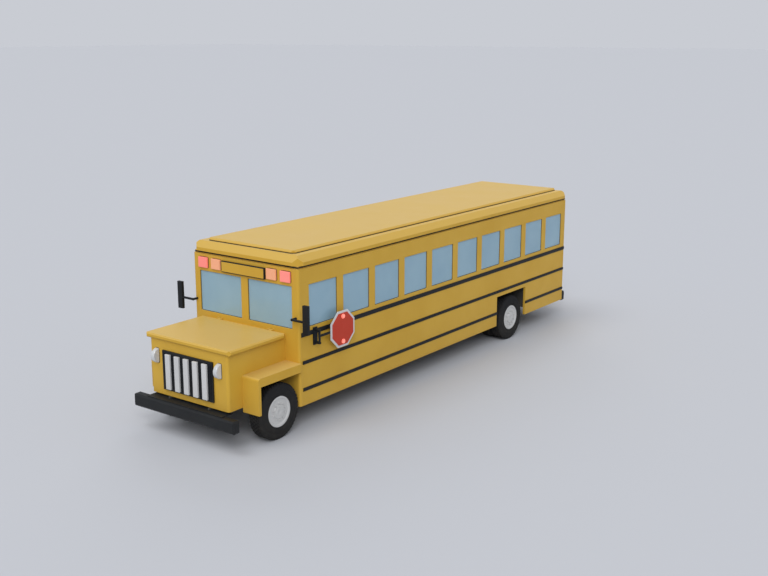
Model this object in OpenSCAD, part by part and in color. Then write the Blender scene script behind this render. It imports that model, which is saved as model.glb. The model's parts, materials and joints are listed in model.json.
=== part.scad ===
// Conventional school bus, full size, in millimetres.
// It faces -Y with its left side on +X and stands on the ground at Z = 0.

/* [Body] */
// Width over the side walls
body_w = 2440; // [2400:10:2500]
// Length of the passenger body without nose and bumpers
body_l = 9300; // [9240:10:9400]
// Height of the skirt's lower edge
skirt_z = 415; // [400:5:425]
// Height of the top of the walls
wall_top_z = 2765; // [2755:5:2800]
// Thickness of walls and doors
wall_t = 50; // [46:1:54]
// Height of the cross sills between frame and floor
sill_h = 70; // [65:1:75]
// Rounding of the upright body corners
corner_r = 44; // [30:1:45]

/* [Roof] */
// Height of the roof cap above the walls
cap_h = 215; // [205:5:230]
// Height of the shadow gap under the roof cap
gutter_h = 50; // [40:2:56]
// Bevel of the cap's shoulder
cap_c = 105; // [90:5:110]
// Height of the raised roof panel
panel_h = 52; // [40:2:60]

/* [Windows] */
// Height of the window sills
sill_z = 1755; // [1745:5:1765]
// Height of the window heads
head_z = 2475; // [2465:5:2485]
// Width of the pillars between side windows
pillar_w = 165; // [150:5:180]
// Thickness of the panes
glass_t = 10; // [8:1:14]

/* [Nose] */
// Length of the nose ahead of the body
nose_l = 1345; // [1335:5:1355]
// How far the nose's sides lie inside the body's sides
nose_in = 320; // [310:5:330]
// Height of the nose's top edge
nose_top_z = 1584; // [1575:1:1590]
// Thickness of the hood lid
lid_t = 84; // [78:2:88]
// Width of one grille bar
bar_w = 110; // [95:5:120]
// Radius of the headlamp lenses
lamp_r = 125; // [110:5:130]

/* [Wheels] */
// Radius of the tyres
tyre_r = 480; // [474:1:482]
// Width of one tyre
tyre_w = 260; // [254:2:264]
// Gap between the front tyres and the body's front face
tyre_gap = 25; // [24:1:28]
// Rear axle ahead of the body's rear face
rear_overhang = 2380; // [2360:5:2400]

/* [Trim] */
// Height of one rub rail
rail_h = 58; // [50:2:64]
// How far the rub rails stand out
rail_t = 20; // [14:1:24]
// Width of the stop sign over its flats
stop_w = 640; // [600:10:660]
// Height of the bumpers
bumper_h = 217; // [200:1:220]

/* [Hidden] */
$fn = 48;
hw = body_w / 2;
iw = hw - wall_t;
front_reach = nose_l + 188;
rear_reach = 150;
overall_l = front_reach + body_l + rear_reach;
bf = front_reach - overall_l / 2;
front_axle_y = tyre_r + tyre_gap;
rear_axle_y = body_l - rear_overhang;
wheel_x = hw - 5 - tyre_w / 2;
king_x = wheel_x - 50;
well_x = wheel_x - 1.5 * tyre_w - 95;
well_low = tyre_r + 90;
rail_x = [hw * 39 / 122, hw * 45 / 122];
rail_z = [tyre_r + 150, tyre_r + 370];
floor_t = 60;
floor_under = rail_z[1] + sill_h;
floor_z = floor_under + floor_t;
glass_gap = 0.2;
fit = 0.3;
window_start = 177;
door_bay = 900;
window_n = round((body_l - 300) / door_bay);
pitch = (body_l - 300 - door_bay) / (window_n - 1);
nw = hw - nose_in;
nose_bottom_z = rail_z[0] + 5;
lid_z = nose_top_z + lid_t;
lid_axis = [-25, lid_z - 8];
fender_x = hw + 42;
fender_front = -front_axle_y - tyre_r - 47;
fender_z = tyre_r + 555;
fender_low = tyre_r + 80;
arch_half = tyre_r + 123;
arch_top = tyre_r + 570;
door_end = window_start + door_bay;
door_y = [150, 950];
door_top = 2440;
leaf_t = 40;
pin_off = 18;
exit_half = 480;
exit_top = head_z + 5;
exit_panes = [[floor_z + 80, sill_z - 255], [sill_z, head_z - 60]];
stop_axis = [hw + 105, 390];
stop_y = 985;
stop_z = 1580;
stop_foot = 48;
mirror_z = 1940;
arm_r = 21;
bumper_z = 370;
bumper_in = 40;
row_first = 1500;
row_pitch = 740;
row_n = floor((body_l - 1900) / row_pitch + 0.01);
step_low = skirt_z + 25;
step_rise = (floor_z - step_low) / 3;
step_d = (iw - rail_x[1] - 15) / 3;
rail_zs = [sill_z - 105, arch_top + 115, skirt_z + 282];
red_x = hw - 262;
amber_x = hw - 573;
sign_half = hw - 717;
grille_half = nw - 315;
bar_pitch = 213;
bar_n = floor((grille_half - 104 - bar_w / 2) / bar_pitch + 0.01);
lamp_x = nw - 173;
cross_ys = concat([for (i = [0 : 5]) 900 + i * (rear_axle_y - 1920) / 5], [body_l - 1500, body_l - 400]);
sill_ys = concat([for (i = [0 : 5]) 1250 + i * (rear_axle_y - 2420) / 5], [body_l - 1350, body_l - 450]);
gearbox_end = 700;
gearbox_half = rail_x[0] * 0.44;
shaft_r = 48;
exhaust_x = (shaft_r + rail_x[0]) / 2;
pipe_r = (rail_x[0] - shaft_r) * 0.11;
grille_z = [nose_bottom_z + 108, nose_top_z - 166];
lamp_z = nose_top_z - 284;
tank_y = [3050, 4550];
eye_z = skirt_z - 77;
barrel_zs = [620, 1420, 2220];
exit_zs = [1200, 1720, 2240];
rim_r = 262;

// Places the children from the body's front face
module at_body() { translate([0, bf, 0]) children(); }

// The children on both sides
module both() { children(); mirror([1, 0, 0]) children(); }

// Box between two corners
module slab(lo, hi) { translate(lo) cube(hi - lo); }

// Rounded rectangle between two corners
module soft_rect(lo, hi, r) {
  translate([lo[0] + r, lo[1]]) square([hi[0] - lo[0] - 2 * r, hi[1] - lo[1]]);
  translate([lo[0], lo[1] + r]) square([hi[0] - lo[0], hi[1] - lo[1] - 2 * r]);
  for (x = [lo[0] + r, hi[0] - r], y = [lo[1] + r, hi[1] - r]) translate([x, y]) circle(r);
}

// Outline in X and Z, drawn along Y
module along_y(y0, y1) {
  translate([0, y1, 0]) rotate([90, 0, 0]) linear_extrude(y1 - y0) children();
}

// Outline in Y and Z, drawn along X
module along_x(x0, x1) {
  translate([x0, 0, 0]) rotate([90, 0, 90]) linear_extrude(x1 - x0) children();
}

// Slab with rounded upright corners and rounded long edges
module soft_slab(lo, hi, plan_r, edge_r) {
  intersection() {
    translate([0, 0, lo[2]]) linear_extrude(hi[2] - lo[2])
      soft_rect([lo[0], lo[1]], [hi[0], hi[1]], plan_r);
    along_y(lo[1] - 5, hi[1] + 5) soft_rect([lo[0], lo[2]], [hi[0], hi[2]], edge_r);
    along_x(lo[0] - 5, hi[0] + 5) soft_rect([lo[1], lo[2]], [hi[1], hi[2]], edge_r);
  }
}

// Rectangle between two corners with its corners cut off
module bevel_rect(lo, hi, c) {
  polygon([[lo[0] + c, lo[1]], [hi[0] - c, lo[1]], [hi[0], lo[1] + c], [hi[0], hi[1] - c],
    [hi[0] - c, hi[1]], [lo[0] + c, hi[1]], [lo[0], hi[1] - c], [lo[0], lo[1] + c]]);
}

// Slab with bevelled upright corners and bevelled edges
module bevel_slab(lo, hi, plan_c, edge_c) {
  intersection() {
    translate([0, 0, lo[2]]) linear_extrude(hi[2] - lo[2])
      bevel_rect([lo[0], lo[1]], [hi[0], hi[1]], plan_c);
    along_y(lo[1] - 5, hi[1] + 5) bevel_rect([lo[0], lo[2]], [hi[0], hi[2]], edge_c);
    along_x(lo[0] - 5, hi[0] + 5) bevel_rect([lo[1], lo[2]], [hi[1], hi[2]], edge_c);
  }
}

// Slab with flat underside, bevelled upright corners and bevelled upper edges
module cap_slab(lo, hi, plan_c, edge_c) {
  intersection() {
    bevel_slab([lo[0], lo[1], lo[2] - 2 * edge_c], hi, plan_c, edge_c);
    slab(lo, hi);
  }
}

// Round bar along X
module bar_x(x0, x1, y, z, r) { translate([x0, y, z]) rotate([0, 90, 0]) cylinder(h = x1 - x0, r = r); }

// Round bar along Y
module bar_y(x, y0, y1, z, r) { translate([x, y1, z]) rotate([90, 0, 0]) cylinder(h = y1 - y0, r = r); }

// Round bar upright
module bar_z(x, y, z0, z1, r) { translate([x, y, z0]) cylinder(h = z1 - z0, r = r); }

// Body of revolution about an axis along X, its outline in radius and X
module spun_x(x) { translate([x, 0, 0]) rotate([0, 90, 0]) rotate_extrude() children(); }

// Side window number i as a range along Y
function bay_y(i) = window_start + (i == 0 ? 0 : door_bay + (i - 1) * pitch);
function window_y(i) = [bay_y(i) + pillar_w / 2, bay_y(i + 1) - pillar_w / 2];

module frame_rails() {
  color("#2b2d30") at_body() both() along_y(-nose_l + 30, body_l - wall_t) difference() {
    translate([rail_x[0], rail_z[0]]) square([rail_x[1] - rail_x[0], rail_z[1] - rail_z[0]]);
    translate([rail_x[0] - 1, rail_z[0] + 10])
      square([rail_x[1] - rail_x[0] - 9, rail_z[1] - rail_z[0] - 20]);
  }
}

module crossmembers() {
  color("#2b2d30") at_body() for (y = cross_ys)
    slab([-rail_x[1] + 10, y - 35, rail_z[0] + 110], [rail_x[1] - 10, y + 35, rail_z[1] - 10]);
}

module floor() {
  color("#3a3b3d") at_body() difference() {
    union() {
      slab([-iw, wall_t, floor_under], [iw, body_l - wall_t, floor_z]);
      for (y = sill_ys) slab([-iw + 40, y - 40, rail_z[1]], [iw - 40, y + 40, floor_under + 1]);
    }
    slab([-iw - 1, wall_t - 1, rail_z[1] - 1], [-iw + 3 * step_d, door_y[1] + 20, floor_z + 1]);
    both() slab([well_x, rear_axle_y - arch_half - 37, rail_z[1] - 1],
      [iw + 1, rear_axle_y + arch_half + 37, floor_z + 1]);
  }
}

module wheel_wells() {
  color("#26282a") at_body() both() difference() {
    slab([well_x, rear_axle_y - arch_half - 37, well_low],
      [iw, rear_axle_y + arch_half + 37, arch_top + 45]);
    slab([well_x + 25, rear_axle_y - arch_half - 12, 0],
      [iw + 1, rear_axle_y + arch_half + 12, arch_top + 20]);
  }
}

module entry_steps() {
  t = 30;
  x = [-iw, -iw + step_d + 10, -iw + 2 * step_d + 10, -iw + 3 * step_d];
  z = [for (i = [0 : 3]) step_low + i * step_rise];
  color("#3d3f42") at_body() {
    along_y(door_y[0], door_y[1]) polygon([[x[0], z[0]], [x[1], z[0]], [x[1], z[1]], [x[2], z[1]],
      [x[2], z[2]], [x[3], z[2]], [x[3], z[3]], [x[3] - 20, z[3]], [x[3] - 20, z[2] + t],
      [x[2] - 20, z[2] + t], [x[2] - 20, z[1] + t], [x[1] - 20, z[1] + t], [x[1] - 20, z[0] + t],
      [x[0], z[0] + t]]);
    for (y = [door_y[0] - 20, door_y[1]]) slab([x[0], y, z[0]], [x[3], y + 20, z[3]]);
  }
}

module side_wall(from) {
  difference() {
    slab([iw, from, skirt_z], [hw, body_l - wall_t, wall_top_z]);
    for (i = [0 : window_n - 1]) if (window_y(i)[0] > from)
      slab([iw - 1, window_y(i)[0], sill_z], [hw + 1, window_y(i)[1], head_z]);
    slab([iw - 1, rear_axle_y - arch_half, skirt_z - 1], [hw + 1, rear_axle_y + arch_half, arch_top]);
  }
}

module left_side() { color("#e0ae3c") at_body() side_wall(wall_t); }

module right_side() { color("#e0ae3c") at_body() mirror([1, 0, 0]) side_wall(door_end); }

// Fixed hinge eye about an upright axis, standing on a wall to its -X side
module upright_eye(z, dir) {
  for (s = [-1, 1]) translate([0, 0, z + s * 48]) difference() {
    union() {
      cylinder(h = 30, r = 11, center = true);
      translate([0, -pin_off, -15]) mirror([dir > 0 ? 0 : 1, 0, 0])
        translate([-40, 0, 0]) cube([40, pin_off + 8, 30]);
    }
    cylinder(h = 40, r = 6 + fit, center = true);
  }
}

// Moving hinge knuckle with its pin, carried by a tab towards +X
module upright_knuckle(z, dir) {
  translate([0, 0, z]) {
    cylinder(h = 60, r = 11, center = true);
    cylinder(h = 130, r = 6, center = true);
    mirror([dir > 0 ? 0 : 1, 0, 0]) translate([0, -pin_off, -30]) cube([40, pin_off - 4, 60]);
  }
}

// Places a hinge of the entry door, its wall facing -X
module at_leaf_pin(y) { translate([-hw - pin_off, y, 0]) rotate([0, 0, 90]) children(); }

module door_frame() {
  color("#e0ae3c") at_body() {
    difference() {
      slab([-hw, wall_t, skirt_z], [-iw, door_end, wall_top_z]);
      slab([-hw - 1, door_y[0], skirt_z - 1], [-iw + 1, door_y[1], door_top]);
    }
    for (z = barrel_zs) {
      at_leaf_pin(door_y[0]) upright_eye(z, 1);
      at_leaf_pin(door_y[1]) upright_eye(z, -1);
    }
  }
}

// End wall with rounded corners, its outer face at the origin
module end_plate() {
  translate([0, 0, skirt_z]) linear_extrude(wall_top_z - skirt_z) {
    translate([-hw, corner_r]) square([body_w, wall_t - corner_r]);
    translate([-hw + corner_r, 0]) square([body_w - 2 * corner_r, wall_t]);
    for (s = [-1, 1]) intersection() {
      translate([s * (hw - corner_r), corner_r]) circle(corner_r);
      translate([-hw - 1, -1]) square([body_w + 2, wall_t + 1]);
    }
  }
}

module front_wall() {
  color("#e0ae3c") at_body() {
    difference() {
      end_plate();
      slab([-rail_x[1] - 170, -1, skirt_z - 1], [rail_x[1] + 170, wall_t + 1, floor_under]);
      both() slab([78, -1, sill_z - 12], [hw - 147, wall_t + 1, head_z - 8]);
    }
    both() for (s = [-1, 1]) translate([600 + s * 46, 0, lid_axis[1]]) difference() {
      slab([-12, -38, -15], [12, 0, 15]);
      bar_x(-20, 20, lid_axis[0], 0, 6 + fit);
    }
  }
}

module rear_wall() {
  color("#e0ae3c") at_body() {
    difference() {
      translate([0, body_l, 0]) mirror([0, 1, 0]) end_plate();
      both() slab([640, body_l - wall_t - 1, sill_z], [hw - 130, body_l + 1, head_z]);
      slab([-exit_half, body_l - wall_t - 1, floor_z], [exit_half, body_l + 1, exit_top]);
    }
    for (z = exit_zs) translate([-exit_half, body_l + pin_off, 0]) upright_eye(z, 1);
  }
}

module roof() {
  z1 = wall_top_z + cap_h;
  color("#e0ae3c") at_body() difference() {
    union() {
      slab([-hw + 25, 25, wall_top_z], [hw - 25, body_l - 25, wall_top_z + gutter_h]);
      cap_slab([-hw - 22, -22, wall_top_z + gutter_h - 1], [hw + 22, body_l + 22, z1], cap_c + 25, cap_c);
      cap_slab([-hw + 220, 145, z1 - 1], [hw - 220, body_l - 110, z1 + panel_h], 60, 30);
    }
    slab([-iw, wall_t, wall_top_z - 1], [iw, body_l - wall_t, z1 - 50]);
    slab([-hw + 300, 225, wall_top_z], [hw - 300, body_l - 190, z1 + panel_h - 50]);
  }
}

// Pane in an opening, its faces set in from the wall's faces
module pane(lo, hi) {
  slab(lo + [0, glass_gap, glass_gap], hi - [0, glass_gap, glass_gap]);
}

module window_glass() {
  color("#9fc0d0") at_body() {
    for (i = [0 : window_n - 1])
      pane([hw - 30, window_y(i)[0], sill_z], [hw - 30 + glass_t, window_y(i)[1], head_z]);
    for (i = [1 : window_n - 1])
      pane([-hw + 30 - glass_t, window_y(i)[0], sill_z], [-hw + 30, window_y(i)[1], head_z]);
    both() slab([78 + glass_gap, 20, sill_z - 12 + glass_gap],
      [hw - 147 - glass_gap, 20 + glass_t, head_z - 8 - glass_gap]);
    both() slab([640 + glass_gap, body_l - 20 - glass_t, sill_z + glass_gap],
      [hw - 130 - glass_gap, body_l - 20, head_z - glass_gap]);
  }
}

// One stretch of rub rail number i with chamfered edges, on the left wall, the top one higher than the rest
module rail(i, y0, y1) {
  z = rail_zs[i];
  h = rail_h * (i == 0 ? 1.3 : 1);
  flank = hw + rail_t * 0.6;
  crown = hw + rail_t;
  along_y(y0, y1) polygon([[hw, z - h / 2], [flank, z - h / 2], [crown, z - h / 4],
    [crown, z + h / 4], [flank, z + h / 2], [hw, z + h / 2]]);
}

module rub_rails() {
  color("#232529") at_body() {
    rail(0, wall_t, stop_axis[1] - stop_foot);
    rail(0, stop_axis[1] + stop_foot, body_l - wall_t);
    rail(1, 75, body_l - wall_t);
    rail(2, 75, rear_axle_y - arch_half - 5);
    rail(2, rear_axle_y + arch_half + 5, body_l - wall_t);
    mirror([1, 0, 0]) {
      for (i = [0, 1]) rail(i, door_end + 5, body_l - wall_t);
      rail(2, door_end + 5, rear_axle_y - arch_half - 5);
      rail(2, rear_axle_y + arch_half + 5, body_l - wall_t);
    }
  }
}

module nose() {
  color("#e0ae3c") at_body() {
    difference() {
      translate([0, 0, nose_bottom_z]) linear_extrude(nose_top_z - nose_bottom_z) difference() {
        soft_rect([-nw, -nose_l], [nw, 60], 45);
        soft_rect([-nw + 25, -nose_l + 25], [nw - 25, 90], 20);
        translate([-nw - 1, 0]) square([2 * nw + 2, 100]);
      }
      both() slab([nw - 60, fender_front + 22, nose_bottom_z - 1], [nw + 1, 1, fender_z + 65]);
    }
    slab([-nw, -50, nose_top_z - 40], [nw, 0, lid_z - 28]);
  }
}

module grille_panel() {
  color("#26292d") at_body()
    slab([-grille_half, -nose_l - 28, grille_z[0]], [grille_half, -nose_l, grille_z[1]]);
}

module grille_bars() {
  color("#c4c6c8") at_body() for (i = [-bar_n : bar_n])
    translate([i * bar_pitch, 0, 0])
      soft_slab([-bar_w / 2, -nose_l - 73, grille_z[0] + 27],
        [bar_w / 2, -nose_l - 28, grille_z[1] - 46], 12, 10);
}

module headlamps() {
  color("#e8e8ea") at_body() both() intersection() {
    translate([lamp_x, -nose_l, lamp_z]) spun_x(-40)
      polygon([[0, 0], [lamp_r - 12, 0], [lamp_r, 12], [lamp_r, 68], [lamp_r - 12, 80], [0, 80]]);
    slab([lamp_x - 60, -nose_l - 2 * lamp_r, lamp_z - 2 * lamp_r],
      [lamp_x + 60, -nose_l, lamp_z + 2 * lamp_r]);
  }
}

module fenders() {
  color("#e0ae3c") at_body() both() {
    along_x(nw, fender_x) {
      translate([fender_front + 45, fender_z]) square([-fender_front - 45, 145]);
      translate([fender_front, fender_z]) square([60, 100]);
      translate([fender_front, fender_low]) square([22, fender_z - fender_low + 25]);
      translate([fender_front + 45, fender_z + 100]) circle(45);
    }
    slab([fender_x - 26, fender_front, fender_low], [fender_x, fender_front + 54, fender_z + 25]);
  }
}

module bumpers() {
  top = bumper_z + bumper_h;
  color("#2a2d31") at_body() {
    bevel_slab([-hw + bumper_in, -front_reach, bumper_z], [hw - bumper_in, -nose_l - 29, top], 34, 28);
    bevel_slab([-hw + bumper_in - 20, body_l, bumper_z],
      [hw - bumper_in + 20, body_l + rear_reach, top], 34, 28);
    // Stone guard from the front bumper's top to under the nose, notched for the towing plates
    difference() {
      slab([-nw + 25, -front_reach + 40, top], [nw - 25, -nose_l + 100, top + 14]);
      both() slab([rail_x[1] - 2, -nose_l - 31, top - 1], [rail_x[1] + 27, -nose_l + 101, top + 15]);
    }
  }
}

// Warning lamps of one column on front and rear walls
module warning_lamps(x) {
  both() for (y = [-45, body_l])
    soft_slab([x - 107, y, head_z + 53], [x + 107, y + 45, head_z + 238], 14, 12);
}

module red_lamps() {
  color("#d8473c") at_body() {
    warning_lamps(red_x);
    both() bar_y(hw - 170, body_l, body_l + 40, 1330, 85);
  }
}

module amber_lamps() {
  color("#e8973e") at_body() {
    warning_lamps(amber_x);
    both() bar_y(hw - 170, body_l, body_l + 40, 1100, 85);
  }
}

module sign_box() {
  color("#232529") at_body() soft_slab([-sign_half, -40, head_z + 35], [sign_half, 0, head_z + 232], 8, 6);
}

module sign_face() {
  color("#e0ae3c") at_body()
    slab([-sign_half + 15, -46, head_z + 50], [sign_half - 15, -40, head_z + 217]);
}

module mirrors() {
  color("#232529") at_body() both() {
    bar_y(hw - 60, -105, 0, mirror_z, arm_r);
    translate([hw - 60, -105, mirror_z]) sphere(arm_r + 3);
    bar_x(hw - 60, hw + 195, -105, mirror_z, arm_r);
    soft_slab([hw + 188, -134, mirror_z - 207], [hw + 310, -76, mirror_z + 286], 14, 12);
  }
}

module stop_bracket() {
  color("#232529") at_body() translate([0, stop_axis[1], 0]) {
    slab([hw, -stop_foot, 1420], [hw + 22, stop_foot, 1720]);
    for (z = [1445, 1665]) difference() {
      union() {
        slab([hw + 20, -28, z], [stop_axis[0], 28, z + 30]);
        bar_z(stop_axis[0], 0, z, z + 30, 28);
      }
      bar_z(stop_axis[0], 0, z - 1, z + 31, 8 + fit);
    }
  }
}

module engine() {
  half = rail_x[0] - 60;
  color("#6d7174") at_body() {
    slab([-half, -nose_l + 195, rail_z[0] - 40], [half, -150, nose_top_z - 254]);
    slab([-gearbox_half, -151, rail_z[0] - 70], [gearbox_half, gearbox_end, rail_z[0] + 110]);
    both() for (y = [-nose_l + 345, -350])
      slab([half - 1, y, rail_z[0] + 70], [rail_x[1] - 10, y + 90, rail_z[0] + 130]);
  }
}

module front_axle() {
  color("#33363a") at_body() translate([0, -front_axle_y, tyre_r]) {
    slab([-king_x + 20, -40, -45], [king_x - 20, 40, 45]);
    both() bar_z(king_x, 0, -45, 45, 50);
  }
}

// Front axle with its king pin bores
module bored_front_axle() {
  difference() {
    front_axle();
    at_body() both() bar_z(king_x, -front_axle_y, tyre_r - 60, tyre_r + 60, 25 + fit);
  }
}

module rear_axle() {
  e = wheel_x + 60;
  color("#33363a") at_body() translate([0, rear_axle_y, tyre_r]) {
    spun_x(0) polygon([[0, -e], [55, -e], [55, -560], [75, -560], [75, -200], [185, -90], [185, 90],
      [75, 200], [75, 560], [55, 560], [55, e], [0, e]]);
    bar_y(0, -330, 0, 0, 82);
    both() slab([rail_x[0] - 5, -62, 30], [rail_x[1] + 5, 62, 85]);
  }
}

module drive_shaft() {
  y1 = rear_axle_y - 330;
  z0 = rail_z[0] + 10;
  a = atan((z0 - tyre_r) / (y1 - gearbox_end));
  color("#45484b") at_body() intersection() {
    translate([0, gearbox_end, z0]) rotate([-90 - a, 0, 0])
      translate([0, 0, -20]) cylinder(h = y1 - gearbox_end + 40, r = shaft_r);
    slab([-100, gearbox_end, 0], [100, y1, rail_z[1]]);
  }
}

// Leaf spring over an axle, half as long as half, rising at its ends
module spring(y, half, z0, rise) {
  n = 8;
  function up(t) = z0 + rise * t * t;
  function deep(t) = 52 - 34 * abs(t);
  along_x(rail_x[0] + 2, rail_x[1] - 2) polygon(concat(
    [for (i = [-n : n]) [y + half * i / n, up(i / n)]],
    [for (i = [n : -1 : -n]) [y + half * i / n, up(i / n) + deep(i / n)]]));
}

module leaf_springs() {
  color("#3b3e42") at_body() both() {
    spring(-front_axle_y, 560, tyre_r + 45, rail_z[0] - tyre_r - 45 - 18);
    spring(rear_axle_y, 720, tyre_r + 85, rail_z[0] - tyre_r - 85 - 18);
  }
}

module fuel_tank() {
  color("#55585b") at_body() {
    along_y(tank_y[0], tank_y[1])
      soft_rect([-iw + 60, skirt_z + 50], [-rail_x[1] - 70, rail_z[1] - 10], 60);
    for (y = [tank_y[0] + 200, tank_y[1] - 300])
      slab([-rail_x[1] - 71, y, rail_z[0] + 60], [-rail_x[1], y + 100, rail_z[0] + 120]);
  }
}

module exhaust() {
  color("#77797b") at_body() {
    bar_y(exhaust_x, -150, body_l - wall_t - 40, rail_z[0] + 20, pipe_r);
    bar_y(exhaust_x, 2020, 2780, rail_z[0] + 20, 2.5 * pipe_r);
  }
}

// Bench seat at the left wall, its front edge at the origin on the floor
module bench() {
  along_x(195, iw) polygon([[0, 300], [440, 300], [535, 1010], [450, 1010], [395, 430], [0, 430]]);
  slab([235, 60, 0], [275, 380, 301]);
}

module seats() {
  color("#4a4f45") at_body() {
    both() for (i = [0 : row_n - 1]) translate([0, row_first + i * row_pitch, floor_z]) bench();
    translate([0, 800, floor_z]) {
      along_x(370, 870) polygon([[0, 380], [440, 380], [520, 1080], [430, 1080], [390, 500], [0, 500]]);
      slab([540, 130, 0], [700, 330, 381]);
    }
  }
}

module dashboard() {
  color("#2f3134") at_body() translate([0, 0, floor_z]) {
    along_x(-330, iw)
      polygon([[wall_t, 0], [180, 0], [200, 370], [330, 440], [330, 500], [250, 560], [wall_t, 580]]);
    translate([620, 300, 460]) rotate([-62, 0, 0]) {
      translate([0, 0, -60]) cylinder(h = 360, r = 22);
      translate([0, 0, 280]) rotate_extrude() translate([215, 0]) circle(15, $fn = 16);
      translate([0, 0, 272]) cylinder(h = 28, r = 60);
      for (a = [0 : 120 : 240]) rotate([0, 0, a + 30]) translate([40, -14, 276]) cube([172, 28, 12]);
    }
  }
}

// Towing plate with its eye on the left rail, from y0 to y1, its foot alone reaching on to y2
module tow_plate(y0, y1, y2, eye) {
  difference() {
    union() {
      slab([rail_x[1], y0, eye_z - 48], [rail_x[1] + 25, y1, rail_z[1] - 50]);
      slab([rail_x[1], min(y0, y2), eye_z - 48], [rail_x[1] + 25, max(y1, y2), nose_bottom_z - 3]);
    }
    bar_x(rail_x[1] - 1, rail_x[1] + 26, eye, eye_z, 20);
  }
}

module tow_eyes() {
  color("#8b8d8f") at_body() both() {
    tow_plate(-nose_l + 30, -nose_l + 120, -nose_l - 29, -nose_l + 45);
    tow_plate(body_l - wall_t - 110, body_l - wall_t, body_l - wall_t, body_l - wall_t - 55);
  }
}

module hood_lid() {
  color("#e0ae3c") at_body() {
    difference() {
      bevel_slab([-nw - 80, -nose_l - 41, nose_top_z], [nw + 80, -55, lid_z], 48, 22);
      slab([-nw + 40, -nose_l + 40, nose_top_z - 1], [nw - 40, -140, lid_z - 24]);
    }
    both() translate([600, 0, lid_axis[1]]) {
      bar_x(-32, 32, lid_axis[0], 0, 12);
      bar_x(-56, 56, lid_axis[0], 0, 6);
      slab([-30, -110, -16], [30, lid_axis[0], -4]);
    }
  }
}

module stop_arm() {
  color("#232529") at_body() {
    translate([stop_axis[0], stop_axis[1], 0]) {
      bar_z(0, 0, 1480, 1660, 20);
      bar_z(0, 0, 1440, 1700, 8);
      slab([-8, 0, 1560], [8, stop_y - stop_axis[1] + 120, 1600]);
    }
  }
}

// Flat-topped octagon over its flats, standing in a plane across X
module octagon(w, x0, x1) {
  translate([0, stop_y, stop_z]) along_x(x0, x1) rotate(22.5) circle(w / 2 / cos(22.5), $fn = 8);
}

module stop_plate() {
  color("#dcdcde") at_body() octagon(stop_w, stop_axis[0] + 8, stop_axis[0] + 20);
}

module stop_face() {
  color("#b5443a") at_body() {
    octagon(stop_w - 80, stop_axis[0] + 20, stop_axis[0] + 26);
    for (s = [-1, 1]) bar_x(stop_axis[0] + 25, stop_axis[0] + 44, stop_y, stop_z + s * 222, 38);
  }
}

// Leaf of the entry door between y0 and y1, without its hinges
module leaf(y0, y1) {
  difference() {
    slab([-hw, y0, 450], [-hw + leaf_t, y1, door_top - 12]);
    for (z = [[540, 1330], [1420, 2350]]) slab([-hw - 1, y0 + 65, z[0]], [-hw + leaf_t + 1, y1 - 65, z[1]]);
  }
}

module leaf_glass(y0, y1) {
  color("#9fc0d0") at_body() for (z = [[540, 1330], [1420, 2350]])
    pane([-hw + 15, y0 + 65, z[0]], [-hw + 15 + glass_t, y1 - 65, z[1]]);
}

front_leaf_y = [door_y[0] + 10, (door_y[0] + door_y[1]) / 2 - 8];
rear_leaf_y = [(door_y[0] + door_y[1]) / 2 + 8, door_y[1] - 10];

module front_leaf() {
  color("#e0ae3c") at_body() {
    leaf(front_leaf_y[0], front_leaf_y[1]);
    for (z = barrel_zs) at_leaf_pin(door_y[0]) upright_knuckle(z, 1);
  }
}

module front_leaf_glass() { leaf_glass(front_leaf_y[0], front_leaf_y[1]); }

module rear_leaf() {
  color("#e0ae3c") at_body() {
    leaf(rear_leaf_y[0], rear_leaf_y[1]);
    for (z = barrel_zs) at_leaf_pin(door_y[1]) upright_knuckle(z, -1);
  }
}

module rear_leaf_glass() { leaf_glass(rear_leaf_y[0], rear_leaf_y[1]); }

module exit_door() {
  color("#e0ae3c") at_body() {
    difference() {
      slab([-exit_half + 10, body_l - wall_t, floor_z + 10], [exit_half - 10, body_l, exit_top - 10]);
      for (z = exit_panes)
        slab([-exit_half + 90, body_l - wall_t - 1, z[0]], [exit_half - 90, body_l + 1, z[1]]);
    }
    for (z = exit_zs) translate([-exit_half, body_l + pin_off, 0]) upright_knuckle(z, 1);
    slab([exit_half - 80, body_l - 1, 1590], [exit_half - 50, body_l + 45, 1680]);
  }
}

module exit_glass() {
  color("#9fc0d0") at_body() for (z = exit_panes)
    slab([-exit_half + 90 + glass_gap, body_l - 20 - glass_t, z[0] + glass_gap],
      [exit_half - 90 - glass_gap, body_l - 20, z[1] - glass_gap]);
}

// Steering knuckle of the left wheel about the king pin at the origin
module knuckle() {
  spindle = wheel_x - king_x;
  bar_z(0, 0, -95, 95, 25);
  for (s = [-1, 1]) translate([0, 0, s * 77.5]) {
    cylinder(h = 35, r = 45, center = true);
    translate([0, -45, -17.5]) cube([75, 90, 35]);
  }
  slab([55, -45, -95], [75, 45, 95]);
  bar_x(74, spindle + 85, 0, 0, 40);
  slab([-22, 0, -95], [22, 140, -60]);
  bar_z(0, 140, -95, -60, 22);
  bar_z(0, 140, -61, -16, 14);
}

module left_knuckle() { color("#3a3d40") at_body() translate([king_x, -front_axle_y, tyre_r]) knuckle(); }

module right_knuckle() {
  color("#3a3d40") at_body() mirror([1, 0, 0]) translate([king_x, -front_axle_y, tyre_r]) knuckle();
}

module tie_rod() {
  color("#45484b") at_body() translate([0, -front_axle_y + 140, tyre_r - 39]) difference() {
    union() {
      bar_x(-king_x, king_x, 0, 0, 15);
      both() bar_z(king_x, 0, -15, 15, 28);
    }
    both() bar_z(king_x, 0, -30, 30, 14 + fit);
  }
}

// Outline of one tyre in radius and X
module tyre_outline() {
  h = tyre_w / 2;
  polygon([[rim_r, -h + 10], [rim_r + 40, -h], [tyre_r - 48, -h], [tyre_r - 16, -h + 14], [tyre_r, -h + 44],
    [tyre_r, h - 44], [tyre_r - 16, h - 14], [tyre_r - 48, h], [rim_r + 40, h], [rim_r, h - 10]]);
}

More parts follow.
